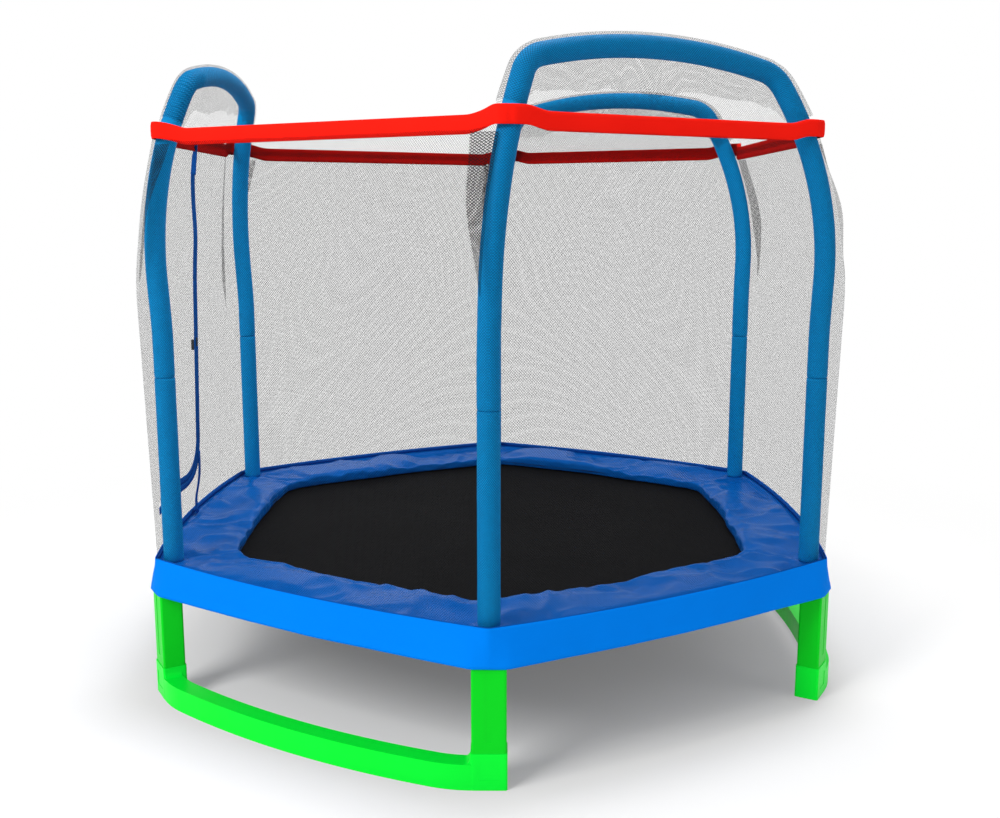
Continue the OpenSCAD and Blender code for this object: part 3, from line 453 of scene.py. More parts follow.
def grid(points, uv=None, round_u=False, round_v=False):
    """Faces and face-corner UVs of a grid of points [row, column]."""
    n, m = points.shape[:2]
    faces, corners = [], []
    for i in range(n if round_v else n - 1):
        for j in range(m if round_u else m - 1):
            i1, j1 = (i + 1) % n, (j + 1) % m
            faces.append((i * m + j, i * m + j1, i1 * m + j1, i1 * m + j))
            if uv is not None:
                corners.extend((uv[i][j], uv[i][j + 1], uv[i + 1][j + 1], uv[i + 1][j]))
    return faces, corners


def uv_grid(us, vs):
    return [[(u, v) for u in us] for v in vs]


def grid_piece(name, points, slots, uv, round_u=False, round_v=False):
    faces, corners = grid(points, uv, round_u, round_v)
    return piece(name, points.reshape(-1, 3), faces, slots, corners)


def merged(parts):
    """Several (points, faces, UVs) as one."""
    points, faces, corners, at = [], [], [], 0
    for p, f, c in parts:
        points.append(p)
        faces += [tuple(at + v for v in face) for face in f]
        corners += list(c)
        at += len(p)
    return np.concatenate(points), faces, corners


def lengths(points, closed=False):
    """Distance along a row of points, from 0, and back to its first point if it is closed."""
    points = np.concatenate([points, points[:1]]) if closed else points
    steps = np.linalg.norm(np.diff(points, axis=0), axis=1)
    return np.concatenate([[0], np.cumsum(steps)])


def thicken(obj, thickness):
    """Gives a sheet its thickness, half to each side."""
    mod = obj.modifiers.new("cloth_thickness", "SOLIDIFY")
    mod.thickness, mod.offset, mod.use_even_offset = thickness / 1000, 0.0, True
    return obj


# %% Tubes along a line
def frames_along(path):
    """Two directions across a path at each of its points, without twist."""
    ahead = np.gradient(path, axis=0)
    ahead /= np.linalg.norm(ahead, axis=1)[:, None]
    start = np.array([0, 0, 1.0]) if abs(ahead[0][2]) < 0.9 else np.array([1.0, 0, 0])
    across = []
    for u in ahead:
        start = start - (start @ u) * u
        start = start / np.linalg.norm(start)
        across.append(start)
    across = np.array(across)
    return across, np.cross(ahead, across)


def tube_rows(path, radius, sides):
    a, b = frames_along(path)
    turn = np.linspace(0, 2 * math.pi, sides, endpoint=False)
    r = np.broadcast_to(np.asarray(radius, float).reshape(-1, 1), (len(path), sides))
    return path[:, None] + r[..., None] * (np.cos(turn)[None, :, None] * a[:, None]
                                           + np.sin(turn)[None, :, None] * b[:, None])


def wire(path, radius, sides):
    """Points and faces of a capped wire, and no UVs."""
    rows = tube_rows(path, radius, sides)
    count, (faces, _) = rows.shape[0] * sides, grid(rows, round_u=True)
    faces.append(tuple(reversed(range(sides))))
    faces.append(tuple(range(count - sides, count)))
    return rows.reshape(-1, 3), faces, []


# %% [markdown]
# ## Springs and rings
# Forty-two coil springs join the rails to triangular rings in the mat's hem. Each one is
# a real winding: a helix of 2.8 mm wire with an eye at the mat's end and a hook that
# drops into the rail. A side's springs are one piece.

# %% Springs
SPRINGS_A_SIDE, SPRING_PITCH = 7, 0.77 * CORNER_R / 6
WIRE_R, COIL_R, HOOK_R = 1.4, 6.6, 4.6
HOOK_AT, COIL_IN, COIL_OUT = -126.25, -112.65, -22.0


def spring_line():
    turns = 27
    t = np.linspace(0, 1, turns * 10 + 1)
    angle = 2 * math.pi * turns * t + math.pi
    swell = COIL_R * smooth(t * 14) * smooth((1 - t) * 14)
    coil = np.stack([COIL_IN + (COIL_OUT - COIL_IN) * t,
                     swell * np.sin(angle), -swell * np.cos(angle)], 1)
    loop = np.radians(np.linspace(-330, 0, 14))
    eye = np.stack([HOOK_AT + HOOK_R * np.cos(loop), 0 * loop, HOOK_R * np.sin(loop)], 1)
    hook = np.array([[-16, 0, 0], [-11, 0, -0.6], [-9.2, 0, -3], [-9, 0, -8]])
    return np.concatenate([eye, coil, hook])


def on_rail(k, i, points):
    """Moves points from a spring's own frame to its place i on side k."""
    degrees = math.degrees((i - (SPRINGS_A_SIDE + 1) / 2) * SPRING_PITCH / SIDE_R)
    p = np.asarray(points, float) + (SIDE_R, 0, 0)
    return at_side(k, spun(p, degrees) + (SIDE_X, 0, RAIL_Z))


springs = []
for k in SIDES:
    points, faces, _ = merged(wire(on_rail(k, i, spring_line()), WIRE_R, 6)
                              for i in range(1, SPRINGS_A_SIDE + 1))
    springs.append(piece(f"spring_set_{k}", points, faces, ["spring_steel"]))
    face = SIDE_X + SIDE_R
    start, end = at_side(k, [[face + COIL_OUT, 0, RAIL_Z], [face + COIL_IN, 0, RAIL_Z]])
    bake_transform(springs[-1])
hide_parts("springs")
print(len(springs), "sets of", SPRINGS_A_SIDE, "springs")

# %% Rings
RING_TIP, RING_FOOT, RING_TIP_HALF, RING_FOOT_HALF, RING_WIRE_R = -126.2, -157.7, 3.0, 15.5, 1.7


def ring_line():
    """Once round a triangular ring, with short gaps that round its corners."""
    corners = np.array([[RING_TIP, -RING_TIP_HALF], [RING_TIP, RING_TIP_HALF],
                        [RING_FOOT, RING_FOOT_HALF], [RING_FOOT, -RING_FOOT_HALF],
                        [RING_TIP, -RING_TIP_HALF]])
    line = []
    for a, b in zip(corners[:-1], corners[1:]):
        line.extend(a + (b - a) * t for t in np.linspace(0.04, 0.96, 6))
    line = np.array(line + [line[0]])
    return np.column_stack([line, np.zeros(len(line))])


points, faces, _ = merged(wire(on_rail(k, i, ring_line()), RING_WIRE_R, 8)
                          for k in SIDES for i in range(1, SPRINGS_A_SIDE + 1))
rings = piece("hem_rings", points, faces, ["spring_steel"])
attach(rings, "mat_edge")
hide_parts("mat_rings")
print(len(SIDES) * SPRINGS_A_SIDE, "rings in the hem")

# %% [markdown]
# ## Lines round the plan
# Most soft pieces run round the whole trampoline. This helper gives a closed line at a
# distance outside the rails, with the same number of points for any distance, so two
# such lines can be joined into a strip. Inside the rails the corners are cut off.

# %% A line round the plan
SIDE_STEPS, CORNER_STEPS, CORNER_CUT = 72, 4, 60.0


def half_line(off):
    """One side from its middle to the corner line, as x outward and y along the side."""
    r = SIDE_R + off
    if off > 0:
        reach = math.radians(SIDE_REACH)
        a = np.linspace(0, reach, SIDE_STEPS // 2 + 1)
        flat = np.stack([SIDE_X + r * np.cos(a), r * np.sin(a)], 1)
        turn = np.linspace(reach, math.radians(30), CORNER_STEPS + 1)[1:]
        middle = CORNER_R * np.array([cosd(30), 0.5])
        return np.concatenate([flat, middle + off * np.stack([np.cos(turn), np.sin(turn)], 1)])
    meet = SIDE_X * cosd(30) + math.sqrt(r ** 2 - (SIDE_X / 2) ** 2)
    reach = math.asin(meet / 2 / r) - CORNER_CUT / 2 / r
    a = np.linspace(0, reach, SIDE_STEPS // 2 + 1)
    flat = np.stack([SIDE_X + r * np.cos(a), r * np.sin(a)], 1)
    normal = np.array([cosd(30), 0.5])
    to = normal * (flat[-1] @ normal)
    rest = [flat[-1] + (to - flat[-1]) * i / CORNER_STEPS for i in range(1, CORNER_STEPS + 1)]
    return np.concatenate([flat, rest])


def round_line(off, z):
    """The closed line at a distance outside the rails and at height z."""
    half = half_line(off)
    side = np.concatenate([half[::-1] * (1, -1), half[1:]])[:-1]
    side = np.column_stack([side, np.full(len(side), float(z))])
    return np.concatenate([at_side(k, side) for k in SIDES])


COLUMNS = len(round_line(0.5, 0))
PER_SIDE = COLUMNS // 6


def strip(rows, closing=None):
    """A strip from round lines, with its UVs in mm; closing is the width of its last gap."""
    rows = np.array(rows)
    along = lengths(rows[0], closed=True)
    down = lengths(rows[:, PER_SIDE // 2])
    if closing:
        down = np.append(down, down[-1] + closing)
    return rows, uv_grid(along, down)


print(COLUMNS, "columns round the plan,", PER_SIDE, "a side")

# %% [markdown]
# ## Mat and hem
# The mat's hem is a doubled webbing that the rings sit in. The mat itself is cut into
# six wedges that meet in the middle.

# %% Hem
profile = [(-151, 339.6), (-150, 341), (-150, 343), (-151.5, 344.9), (-158, 345.2),
           (-167, 344.6), (-176, 345.2), (-181.5, 344.9), (-183, 343), (-183, 341),
           (-181.5, 338.6), (-167, 338.2), (-153, 338.4)]
rows, uv = strip([round_line(off, z) for off, z in profile], closing=14)
hem = grid_piece("mat_webbing_hem", rows, ["mat_webbing"], uv, round_u=True, round_v=True)
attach(hem, "mat_edge")
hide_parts("mat_hem")

# %% Mat
RINGS_IN, MAT_Z = 26, 344.4
edge = round_line(-183.3, MAT_Z).reshape(6, PER_SIDE, 3)
steps_in = np.linspace(0, 1, RINGS_IN + 1)
share = (1 - smooth(steps_in) * 0.35 - steps_in * 0.65)[:-1]
for k in SIDES:
    start_row = np.concatenate([edge[k - 1], edge[k % 6][:1]])
    rows = start_row[None] * share[:, None, None]
    rows[..., 2] = MAT_Z
    flat = np.concatenate([rows.reshape(-1, 3), [[0, 0, MAT_Z]]])
    flat[:, 2] += [1.0 * wander(x / 210, y / 210, 3.3) - 0.4 for x, y, _ in flat]
    n, m = rows.shape[:2]
    faces = grid(rows)[0] + [((n - 1) * m + j, (n - 1) * m + j + 1, n * m) for j in range(m - 1)]
    corners = [flat[v][:2] for f in faces for v in f]
    wedge = piece(f"mat_wedge_{k}", flat, faces, ["mat_cloth"], corners)
    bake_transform(wedge)
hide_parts("jump_mat")

# %% [markdown]
# ## The padded spring cover
# Six foam slabs lie in one long vinyl ring that is sewn together at the corners. The
# vinyl is a little too large for the foam, so it puffs up and buckles. That is what
# cloth simulation does well: the ring is built in one piece, pinned where it is sewn
# and at its underside, and blown up slightly with extra cloth.

# %% Build the vinyl ring
COVER_IN, COVER_OUT = 185.0, 26.0
top_share = np.linspace(0, 1, 23)


def cover_profile():
    """Offsets outward from the rails and heights, once round the pad's section."""
    line = [(COVER_OUT - 1, 363.2), (COVER_OUT, 366), (COVER_OUT, 374), (COVER_OUT - 1.5, 377.6)]
    for t in top_share[1:-1]:
        off = COVER_OUT - 2 - t * (COVER_OUT + COVER_IN - 4)
        line.append((off, 377.4 + 2.4 * math.sin(math.pi * t) ** 0.5))
    inner_edge = [(1.2, 377.4), (-0.6, 373), (-1.2, 364), (-0.6, 352), (2, 348.5), (9, 362.2)]
    line += [(off - COVER_IN, z) for off, z in inner_edge]
    return line + [(-80, 362.1), (COVER_OUT - 22, 362.2)]


def edge_swing(x, y):
    """How far the ring's inner edge wanders from an even width at a place, from -1 to 1."""
    return wander(x / 190, y / 190, 7.7) + 0.35 * wander(x / 85, y / 85, 2.1)


EDGE_SWING, VINYL_ROW = 13.0, 9.0
profile = cover_profile()
rows = np.array([round_line(off, z) for off, z in profile])
ripple = np.array([[smooth((-off - 110) / 75) * edge_swing(x, y) * EDGE_SWING for x, y, _ in line]
                   for (off, _), line in zip(profile, rows)])
outward = rows / np.maximum(np.linalg.norm(rows[..., :2], axis=2), 1)[..., None]
rows[..., :2] += (outward * ripple[..., None])[..., :2]
along = lengths(rows[4], closed=True)
uv = uv_grid(along, VINYL_ROW * np.arange(len(profile) + 1))
cover = grid_piece("vinyl_cover", rows, ["cover_vinyl"], uv, round_u=True, round_v=True)
print("vinyl ring of", len(cover.data.polygons), "faces")

# %% Which vertices are sewn
POCKET_R = 44
columns = np.arange(COLUMNS)
from_seam = np.minimum(columns % PER_SIDE, PER_SIDE - columns % PER_SIDE)
corner_points = np.array([spun([POLE_R, 0, 0], 60 * k - 150) for k in SIDES])
TOP_ROWS = range(4, 4 + len(top_share) - 2)
FREE_ROWS = range(TOP_ROWS[0], TOP_ROWS[-1] + 4)


def held(i, j):
    """1 where the vinyl can't move: underside, outer edge, pole pockets and corner seams."""
    if i not in FREE_ROWS or from_seam[j] == 0 or profile[i][0] > 12:
        return 1.0
    to_pole = np.min(np.linalg.norm(corner_points - rows[i, j] * (1, 1, 0), axis=1))
    return 1.0 if to_pole < POCKET_R else 0.0


sewn = np.array([[held(i, j) for j in range(COLUMNS)] for i in range(len(profile))])
slack = np.array([[0.5 + 0.5 * wander(x / 90, y / 90, 5.0) for x, y, _ in line] for line in rows])
print(int(sewn.sum()), "of", sewn.size, "points are held")

# %% Puff it up
PRESSURE, EXTRA_CLOTH, CLOTH_FRAMES = 0.6, 0.045, 18


def puff(obj, pins, looseness):
    """Points of the blown-up ring, in mm; pins hold it and looseness spreads the extra cloth."""
    for name, weights in (("sewn", pins), ("loose", looseness)):
        vg = obj.vertex_groups.new(name=name)
        for index, weight in enumerate(weights.ravel()):
            vg.add([index], float(weight), "REPLACE")
    cloth = obj.modifiers.new("puff", "CLOTH")
    s = cloth.settings
    s.quality, s.mass, s.air_damping = 6, 0.3, 3
    s.tension_stiffness = s.compression_stiffness = s.shear_stiffness = 18
    s.bending_stiffness = 0.35
    s.effector_weights.gravity = 0
    s.use_pressure, s.uniform_pressure_force = True, PRESSURE
    s.vertex_group_mass, s.pin_stiffness = "sewn", 5
    s.vertex_group_shrink = "loose"
    s.shrink_min, s.shrink_max = -EXTRA_CLOTH * 0.4, -EXTRA_CLOTH
    cloth.collision_settings.use_collision = False
    for number in range(1, CLOTH_FRAMES + 1):
        scene.frame_set(number)
    shape = obj.evaluated_get(bpy.context.evaluated_depsgraph_get()).to_mesh()
    co = np.array([v.co for v in shape.vertices])
    obj.modifiers.remove(cloth)
    scene.frame_set(1)
    return co * 1000 - (MAT_X, 0, 0)


puffed = puff(cover, sewn, slack)
moved = (puffed - rows.reshape(-1, 3)).reshape(rows.shape)
print("largest move before the cap:", round(float(np.abs(moved).max()), 1), "mm")

# %% Cap the movement and press folds in
UP_CAP, DOWN_CAP, SIDE_CAP = 4.5, 5.0, 4.0
SEAM_SINK, LOWEST_DENT, HIGHEST = 3.2, 12, 389


def fold_height(x, y, off):
    """Height of broad dents, sharp folds across the ring and fine wrinkles at a place."""
    deep = wander(x / 170, y / 170, 1.5)
    bend = wander(x / 150, y / 150, 9.2)
    ahead = np.array([x, y]) / np.linalg.norm([x, y])
    fold = wander(ahead[0] * 6 + bend, ahead[1] * 6 - bend, off / 150 + 3)
    crease = (1 - min(1, 2.4 * abs(fold))) ** 1.5
    fine = wander(x / 75, y / 75, 4.5)
    return 25 * deep + 12 * crease + 2.5 * fine - 4.5


moved[..., 2] = np.clip(moved[..., 2], -DOWN_CAP, UP_CAP)
moved[..., :2] = np.clip(moved[..., :2], -SIDE_CAP, SIDE_CAP)
for i, (off, _) in enumerate(profile):
    for j in range(COLUMNS):
        if sewn[i, j] < 1:
            top = 1 if i in TOP_ROWS else 0.3
            moved[i, j, 2] += top * smooth(from_seam[j] / 5) * fold_height(*rows[i, j, :2], off)
        elif from_seam[j] == 0 and i in TOP_ROWS and off < -24:
            moved[i, j, 2] -= SEAM_SINK
final = rows + moved
final[..., 2] = np.clip(final[..., 2], rows[..., 2] - LOWEST_DENT, HIGHEST)
cover.data.vertices.foreach_set("co", in_scene(final).reshape(-1).astype(np.float32))
cover.data.update()
sub = cover.modifiers.new("finer", "SUBSURF")
sub.levels = sub.render_levels = 1
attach(cover, "frame")
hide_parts("spring_cover", "pad_foam")
print("cover from", final[..., 2].min().round(1), "to", final[..., 2].max().round(1))

# %% Backing cloth under the pad
rows, uv = strip([round_line(off, 361.8) for off in (25.0, 8.0, -40.0, -100.0, -150.0, -184.0)])
backing = grid_piece("cover_underside", rows, ["backing_cloth"], uv, round_u=True)
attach(backing, "frame")
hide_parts("cover_backing")
print("backing cloth", round(uv[0][-1][0] / 1000, 2), "m round")

# %% [markdown]
# ## The skirt
# The skirt hangs round the outside and hides the frame. Its upper edge follows the
# cover and its lower edge passes round the legs. It is cut a little long, so the lower
# edge waves slightly between the legs.

# %% Skirt
SKIRT_TOP, SKIRT_LOW, HEM_SHARE = 392.0, 297.0, 0.135


def polar_radius(polygon, angles):
    """Where rays from the middle at these angles leave a convex polygon round it."""
    edges = np.roll(polygon, -1, axis=0) - polygon
    normals = np.stack([edges[:, 1], -edges[:, 0]], 1)
    away = (normals * polygon).sum(1)
    facing = (normals * np.sign(away)[:, None]) @ np.stack([np.cos(angles), np.sin(angles)])
    reach = np.abs(away)[:, None] / np.maximum(facing, 1e-9)
    return reach.min(axis=0)


LEG_OUT, LEG_IN, LEG_HALF = 32.4, 30.0, 43.0
low_points = [p[:2] for p in round_line(32.9, 0)]
for k in SIDES:
    for x in (-LEG_IN, LEG_OUT):
        for y in (-LEG_HALF, LEG_HALF):
            low_points.append(spun([CORNER_R + x, y, 0], 60 * k - 150)[:2])
hull = np.array([low_points[i] for i in convex_hull_2d([Vector(p) for p in low_points])])
top_line = round_line(26.9, SKIRT_TOP)
angles = np.arctan2(top_line[:, 1], top_line[:, 0])
low_radius = polar_radius(hull, angles)
top_radius = np.linalg.norm(top_line[:, :2], axis=1)


def round_noise(times, height):
    """Noise round the skirt, with about this many waves a radian, at a share of its height."""
    return np.array([wander(math.cos(a) * times, math.sin(a) * times, height) for a in angles])


rows = []
for t in (1, 0.93, 0.86, 0.72, 0.58, 0.44, 0.3, 0.16, HEM_SHARE, 0.07, 0.0):
    hang = 1 - t
    wave, finer = round_noise(5.5, t * 0.7), round_noise(19, t * 0.9 + 4)
    bulge = (3.0 * wave + 1.8 * finer + 2.0) * smooth(hang * 1.3) + 0.6
    hemmed = 0.5 if t <= HEM_SHARE else 0.0
    r = top_radius * t + low_radius * hang + np.maximum(bulge, 0.2) + hemmed
    z = SKIRT_LOW + (SKIRT_TOP - SKIRT_LOW) * t + (finer * 1.2 * smooth(hang * 1.2 - 0.2))
    rows.append(np.stack([r * np.cos(angles), r * np.sin(angles), z], 1))
rows, uv = strip(rows)
skirt = thicken(grid_piece("skirt_cloth", rows, ["skirt_cloth"], uv, round_u=True), 1.2)
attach(skirt, "frame")
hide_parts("skirt")
print("skirt round", round(uv[0][-1][0] / 1000, 2), "m")

# %% [markdown]
# ## Poles and arches
# Each arch is one bent tube: it leaves its pole straight, leans out, curves in along a
# wide bend, turns a tight shoulder and crosses over as a shallow bow. The foam sleeves
# follow the same line, so the line is worked out first from its bends.

# %% The arch's centre line
def unit(v):
    return v / np.linalg.norm(v)


def side_of(u, v):
    return unit(v - (u @ v) * u)


def turned(u, v, degrees):
    """Direction u turned towards v."""
    return cosd(degrees) * u + sind(degrees) * side_of(u, v)


def bent(p, u, v, r):
    """Where a bend of radius r that starts at p along u has turned to v."""
    return p + r * side_of(u, v) * (1 - u @ v) + r * u * np.linalg.norm(np.cross(u, v))


def on_bend(p, u, v, r, degrees):
    """A point of that bend, after this turn."""
    a = math.radians(degrees)
    return p + r * side_of(u, v) * (1 - math.cos(a)) + r * u * math.sin(a)


UP, ALONG = np.array([0, 0, 1.0]), np.array([0, 1.0, 0])
ARCH_FOOT, LEAN_FROM, LEAN_TO = COVER_Z + 504, COVER_Z + 591, COVER_Z + 760
LEAN, LEAN_R, UPRIGHT_BEND, UPRIGHT_R, UPRIGHT_TURN = 3.0, 1500.0, 33.0, 880.0, 35.0
SHOULDER_R, TOP_RISE, TOP_TILT = 83.0, 13.3, 18.0
foot = np.array([POLE_R * cosd(30), -POLE_R / 2, ARCH_FOOT])
bend_1 = foot * (1, 1, 0) + UP * LEAN_FROM
leaned = np.array([sind(LEAN), 0, cosd(LEAN)])
bend_1_end = bent(bend_1, UP, leaned, LEAN_R)
bend_2 = bend_1_end + leaned * (LEAN_TO - bend_1_end[2]) / leaned[2]
inward = np.array([-sind(UPRIGHT_TURN), cosd(UPRIGHT_TURN), 0])
steep = turned(leaned, inward, UPRIGHT_BEND)
bend_3 = bent(bend_2, leaned, steep, UPRIGHT_R)
rising = np.array([-sind(TOP_TILT) * sind(TOP_RISE), cosd(TOP_RISE),
                   cosd(TOP_TILT) * sind(TOP_RISE)])
bend_4 = bent(bend_3, steep, rising, SHOULDER_R)
top_r = -bend_4[1] / sind(TOP_RISE)
shoulder_turn = math.degrees(math.acos(steep @ rising))
print("shoulder turns", round(shoulder_turn, 1), "degrees, top bar radius", round(top_r))

# %% Points along it
LINE_STEP = 9.0


def arch_half():
    """Points from the foot of the arch to the middle of its top bar."""
    points = []

    def straight(a, b):
        for t in np.linspace(0, 1, max(2, int(np.linalg.norm(b - a) / LINE_STEP)))[:-1]:
            points.append(a + (b - a) * t)

    def bend(p, u, v, radius, degrees, step=LINE_STEP):
        for d in np.linspace(0, degrees, max(3, int(math.radians(degrees) * radius / step)))[:-1]:
            points.append(on_bend(p, u, v, radius, d))

    straight(foot, bend_1)
    bend(bend_1, UP, leaned, LEAN_R, LEAN)
    straight(bend_1_end, bend_2)
    bend(bend_2, leaned, steep, UPRIGHT_R, UPRIGHT_BEND)
    bend(bend_3, steep, rising, SHOULDER_R, shoulder_turn, LINE_STEP / 2)
    bend(bend_4, rising, ALONG, top_r, TOP_RISE)
    points.append(on_bend(bend_4, rising, ALONG, top_r, TOP_RISE))
    return np.array(points)


half_points = arch_half()
arch_line = np.concatenate([half_points, half_points[-2::-1] * (1, -1, 1)])


def upright_at(z):
    """Where the arch's upright crosses the height z on its long curve."""
    rise = side_of(leaned, steep)
    lift = (z - bend_2[2] - UPRIGHT_R * rise[2]) / (UPRIGHT_R * math.hypot(leaned[2], rise[2]))
    degrees = math.degrees(math.atan2(rise[2], leaned[2]) + math.asin(lift))
    return on_bend(bend_2, leaned, steep, UPRIGHT_R, degrees), degrees


print("upright at the band", upright_at(1516)[0].round(1))

# %% Foam sleeves
FOAM_R, FOAM_BORE, RING_PITCH = 27.0, 12.9, 9.0
SLEEVE_SIDES = 40


def sleeve(path, seed, ringed=None):
    """A foam tube: its outside with softened ends, then its bore on the way back."""
    n = len(path)
    radius = np.array([FOAM_R - 0.25 + 0.25 * wander(i * 0.11, seed, 0) for i in range(n)])
    radius[[0, -1]] -= 2.0
    radius[[1, -2]] -= 0.5
    if ringed is not None:
        rings = 1.1 * np.cos(lengths(path) * 2 * math.pi / RING_PITCH) - 0.8
        radius += np.where(ringed, rings, 0)
    back = sorted(set(range(0, n, 4)) | {n - 1}, reverse=True)
    rows = np.concatenate([tube_rows(path, radius, SLEEVE_SIDES),
                           tube_rows(path, FOAM_BORE, SLEEVE_SIDES)[back]])
    along = lengths(rows[:, 0], closed=True)
    around = np.linspace(0, 2 * math.pi * FOAM_R, SLEEVE_SIDES + 1)
    faces, corners = grid(rows, uv_grid(around, along), round_u=True, round_v=True)
    return rows.reshape(-1, 3), faces, corners


def sleeve_piece(name, paths, replaced, ringed=None):
    points, faces, corners = merged(sleeve(path, seed * 3.7, ringed)
                                    for seed, path in enumerate(paths))
    obj = piece(name, points, faces, ["sleeve_foam"], corners)
    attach(obj, "frame")
    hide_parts(replaced)


heights = np.concatenate([[380.4, 382], np.linspace(390, 874, 50), [882, 883.6]])
pole = np.stack([np.full(len(heights), POLE_R), 0 * heights, heights], 1)
sleeve_piece("pole_sleeves", [spun(pole, 60 * k - 150) for k in SIDES], "pole_foam")
clear = arch_line[arch_line[:, 2] > 890]
start = foot * (1, 1, 0) + UP * np.array([[884.4], [886]])
path = np.concatenate([start, clear, start[::-1] * (1, -1, 1)])
for number in (1, 2):
    sleeve_piece(f"arch_sleeve_{number}", [at_side(2 * number - 1, path)], f"arch_foam_{number}")

# %% A compressed stretch of foam
# Where the third arch's sleeve was pushed over the tube, the foam shows fine rings.
along = lengths(path)
pushed = (path[:, 2] > 1545) & (path[:, 1] > 300)
low, high = along[pushed].min(), along[pushed].max()
finer = np.sort(np.concatenate([along[(along < low) | (along > high)],
                                np.arange(low, high, RING_PITCH / 5)]))
ringed_path = np.stack([np.interp(finer, along, path[:, c]) for c in range(3)], 1)
in_rings = (finer >= low) & (finer <= high)
sleeve_piece("arch_sleeve_3", [at_side(5, ringed_path)], "arch_foam_3", in_rings)
print("sleeve along an arch:", round(lengths(path)[-1]), "mm")

# %% [markdown]
# ## The surface of the net
# The net starts as a strip along the cover, leans out a little beyond the poles, and
# comes in again to lie on the arches below the red band. Four level lines say where it
# passes, and heights between them are mixed from these, rounded off a little as cloth
# is. The band pulls the net in between two poles.

# %% Level lines of the net
NET_LOW, NET_BELLY, NET_HUG, NET_TOP = 392.3, 1140.0, 1347.0, 1516.0
LOW_ROUND, BELLY_R, BELLY_ROUND, POLE_ROUND = 22.0, 1028.0, 34.0, 38.5
FLAT_SHARE = 0.93
DOOR, ZIP_Y, ZIP_PULL, ZIP_PULL_WIDTH = 5, 20.0, 22.0, 140.0
ARCH_PULL, OPEN_PULL, SOFTENED = 6.0, 13.0, 54.0
COS30 = cosd(30)


def pole_place(z, arch_side):
    """The upright's place seen square on from a side, as x outward and y along it."""
    p = upright_at(z)[0]
    x, y = p[0], abs(p[1])
    return (x, y) if arch_side else (x / 2 + y * COS30, x * COS30 - y / 2)


def level_point(level, arch_side, u):
    """A point of a level line: u from -1 to 1 is from corner line to corner line."""
    # Up to FLAT_SHARE the line runs along the side, and beyond it round the upright
    flat, sign = np.abs(u) / FLAT_SHARE, np.sign(u)
    turn = (np.abs(u) - FLAT_SHARE) / (1 - FLAT_SHARE)
    if level == 0:
        cx, cy, rho, first = CORNER_R * COS30, CORNER_R / 2, LOW_ROUND, SIDE_REACH
    elif level == 1:
        cx, cy, rho, first = BELLY_R * COS30, BELLY_R / 2, BELLY_ROUND, 0.0
    else:
        cx, cy = pole_place((NET_HUG, NET_TOP)[level - 2], arch_side)
        rho, first = POLE_ROUND, 0.0
    width = cy + rho * sind(first)
    y = np.minimum(flat, 1) * width
    bow = SIDE_X + np.sqrt((SIDE_R + LOW_ROUND) ** 2 - y ** 2)
    x = bow if level == 0 else np.full_like(y, cx + rho)
    a = np.radians(first + (30 - first) * np.clip(turn, 0, 1))
    round_it = turn > 0
    x = np.where(round_it, cx + rho * np.cos(a), x)
    y = np.where(round_it, cy + rho * np.sin(a), y)
    return np.stack([x, sign * y], -1)


def pulled_in(gap, arch_side):
    """How far the band pulls the net in, at this distance from the pole."""
    return np.where(arch_side, ARCH_PULL * smooth((gap - 8) / 150),
                    OPEN_PULL * smooth((gap - 4) / 62))


LEVELS = np.array([NET_LOW, NET_BELLY, NET_HUG, NET_TOP])


def shares(z):
    """How much of each level line a height takes, averaged with the heights near it."""
    total = np.zeros(4)
    for shift in np.linspace(-SOFTENED, SOFTENED, 7):
        shift *= min(1, (z - NET_LOW) / 60, (NET_TOP + 40 - z) / 60)
        h = min(max(z + shift, NET_LOW - 60), NET_TOP + 60)
        i = int(np.clip(np.searchsorted(LEVELS, h) - 1, 0, 2))
        t = (h - LEVELS[i]) / (LEVELS[i + 1] - LEVELS[i])
        total[i] += (1 - t) / 7
        total[i + 1] += t / 7
    return total


def net_point(k, u, z, out=0.0):
    """Points of the net on side k, for arrays of u and heights z."""
    arch_side = k % 2 == 1
    u, z = np.broadcast_arrays(np.asarray(u, float), np.asarray(z, float))
    lines = np.stack([level_point(i, arch_side, u) for i in range(4)])
    mixed = np.array([shares(h) for h in z.ravel()]).reshape(z.shape + (4,))
    xy = np.einsum("...l,l...c->...c", mixed, lines)
    edge = np.einsum("...l,l->...", mixed, level_widths[arch_side])
    pull = pulled_in(edge - np.abs(xy[..., 1]), arch_side) * smooth((z - 1270) / 215)
    if k == DOOR:
        near_zip = np.exp(-((xy[..., 1] - ZIP_Y) / ZIP_PULL_WIDTH) ** 2)
        pull = ZIP_PULL * near_zip * smooth((1470 - z) / 260) * smooth((z - 392) / 130)
    x = xy[..., 0] - np.where(np.abs(u) <= FLAT_SHARE, pull, 0) + out
    return np.stack([x, xy[..., 1], z], -1)


level_widths = {side: np.array([level_point(i, side, FLAT_SHARE)[1] for i in range(4)])
                for side in (True, False)}


def net_u(k, y, z):
    """The u of a point at y along side k and height z."""
    widths = np.array([shares(h) @ level_widths[k % 2 == 1] for h in np.ravel(z)])
    return FLAT_SHARE * y / widths.reshape(np.shape(z))


print("net widths at the band:", {s: w[-1].round(1) for s, w in level_widths.items()})

# %% [markdown]
# ## The zipped door's plan
# The door is on the side between corners 5 and 6. Its zip runs down from the band,
# bends, and ends beside the pole. Drawn square on, these are simple curves, so the net
# of this side is triangulated in that flat view and then laid on the net's surface.

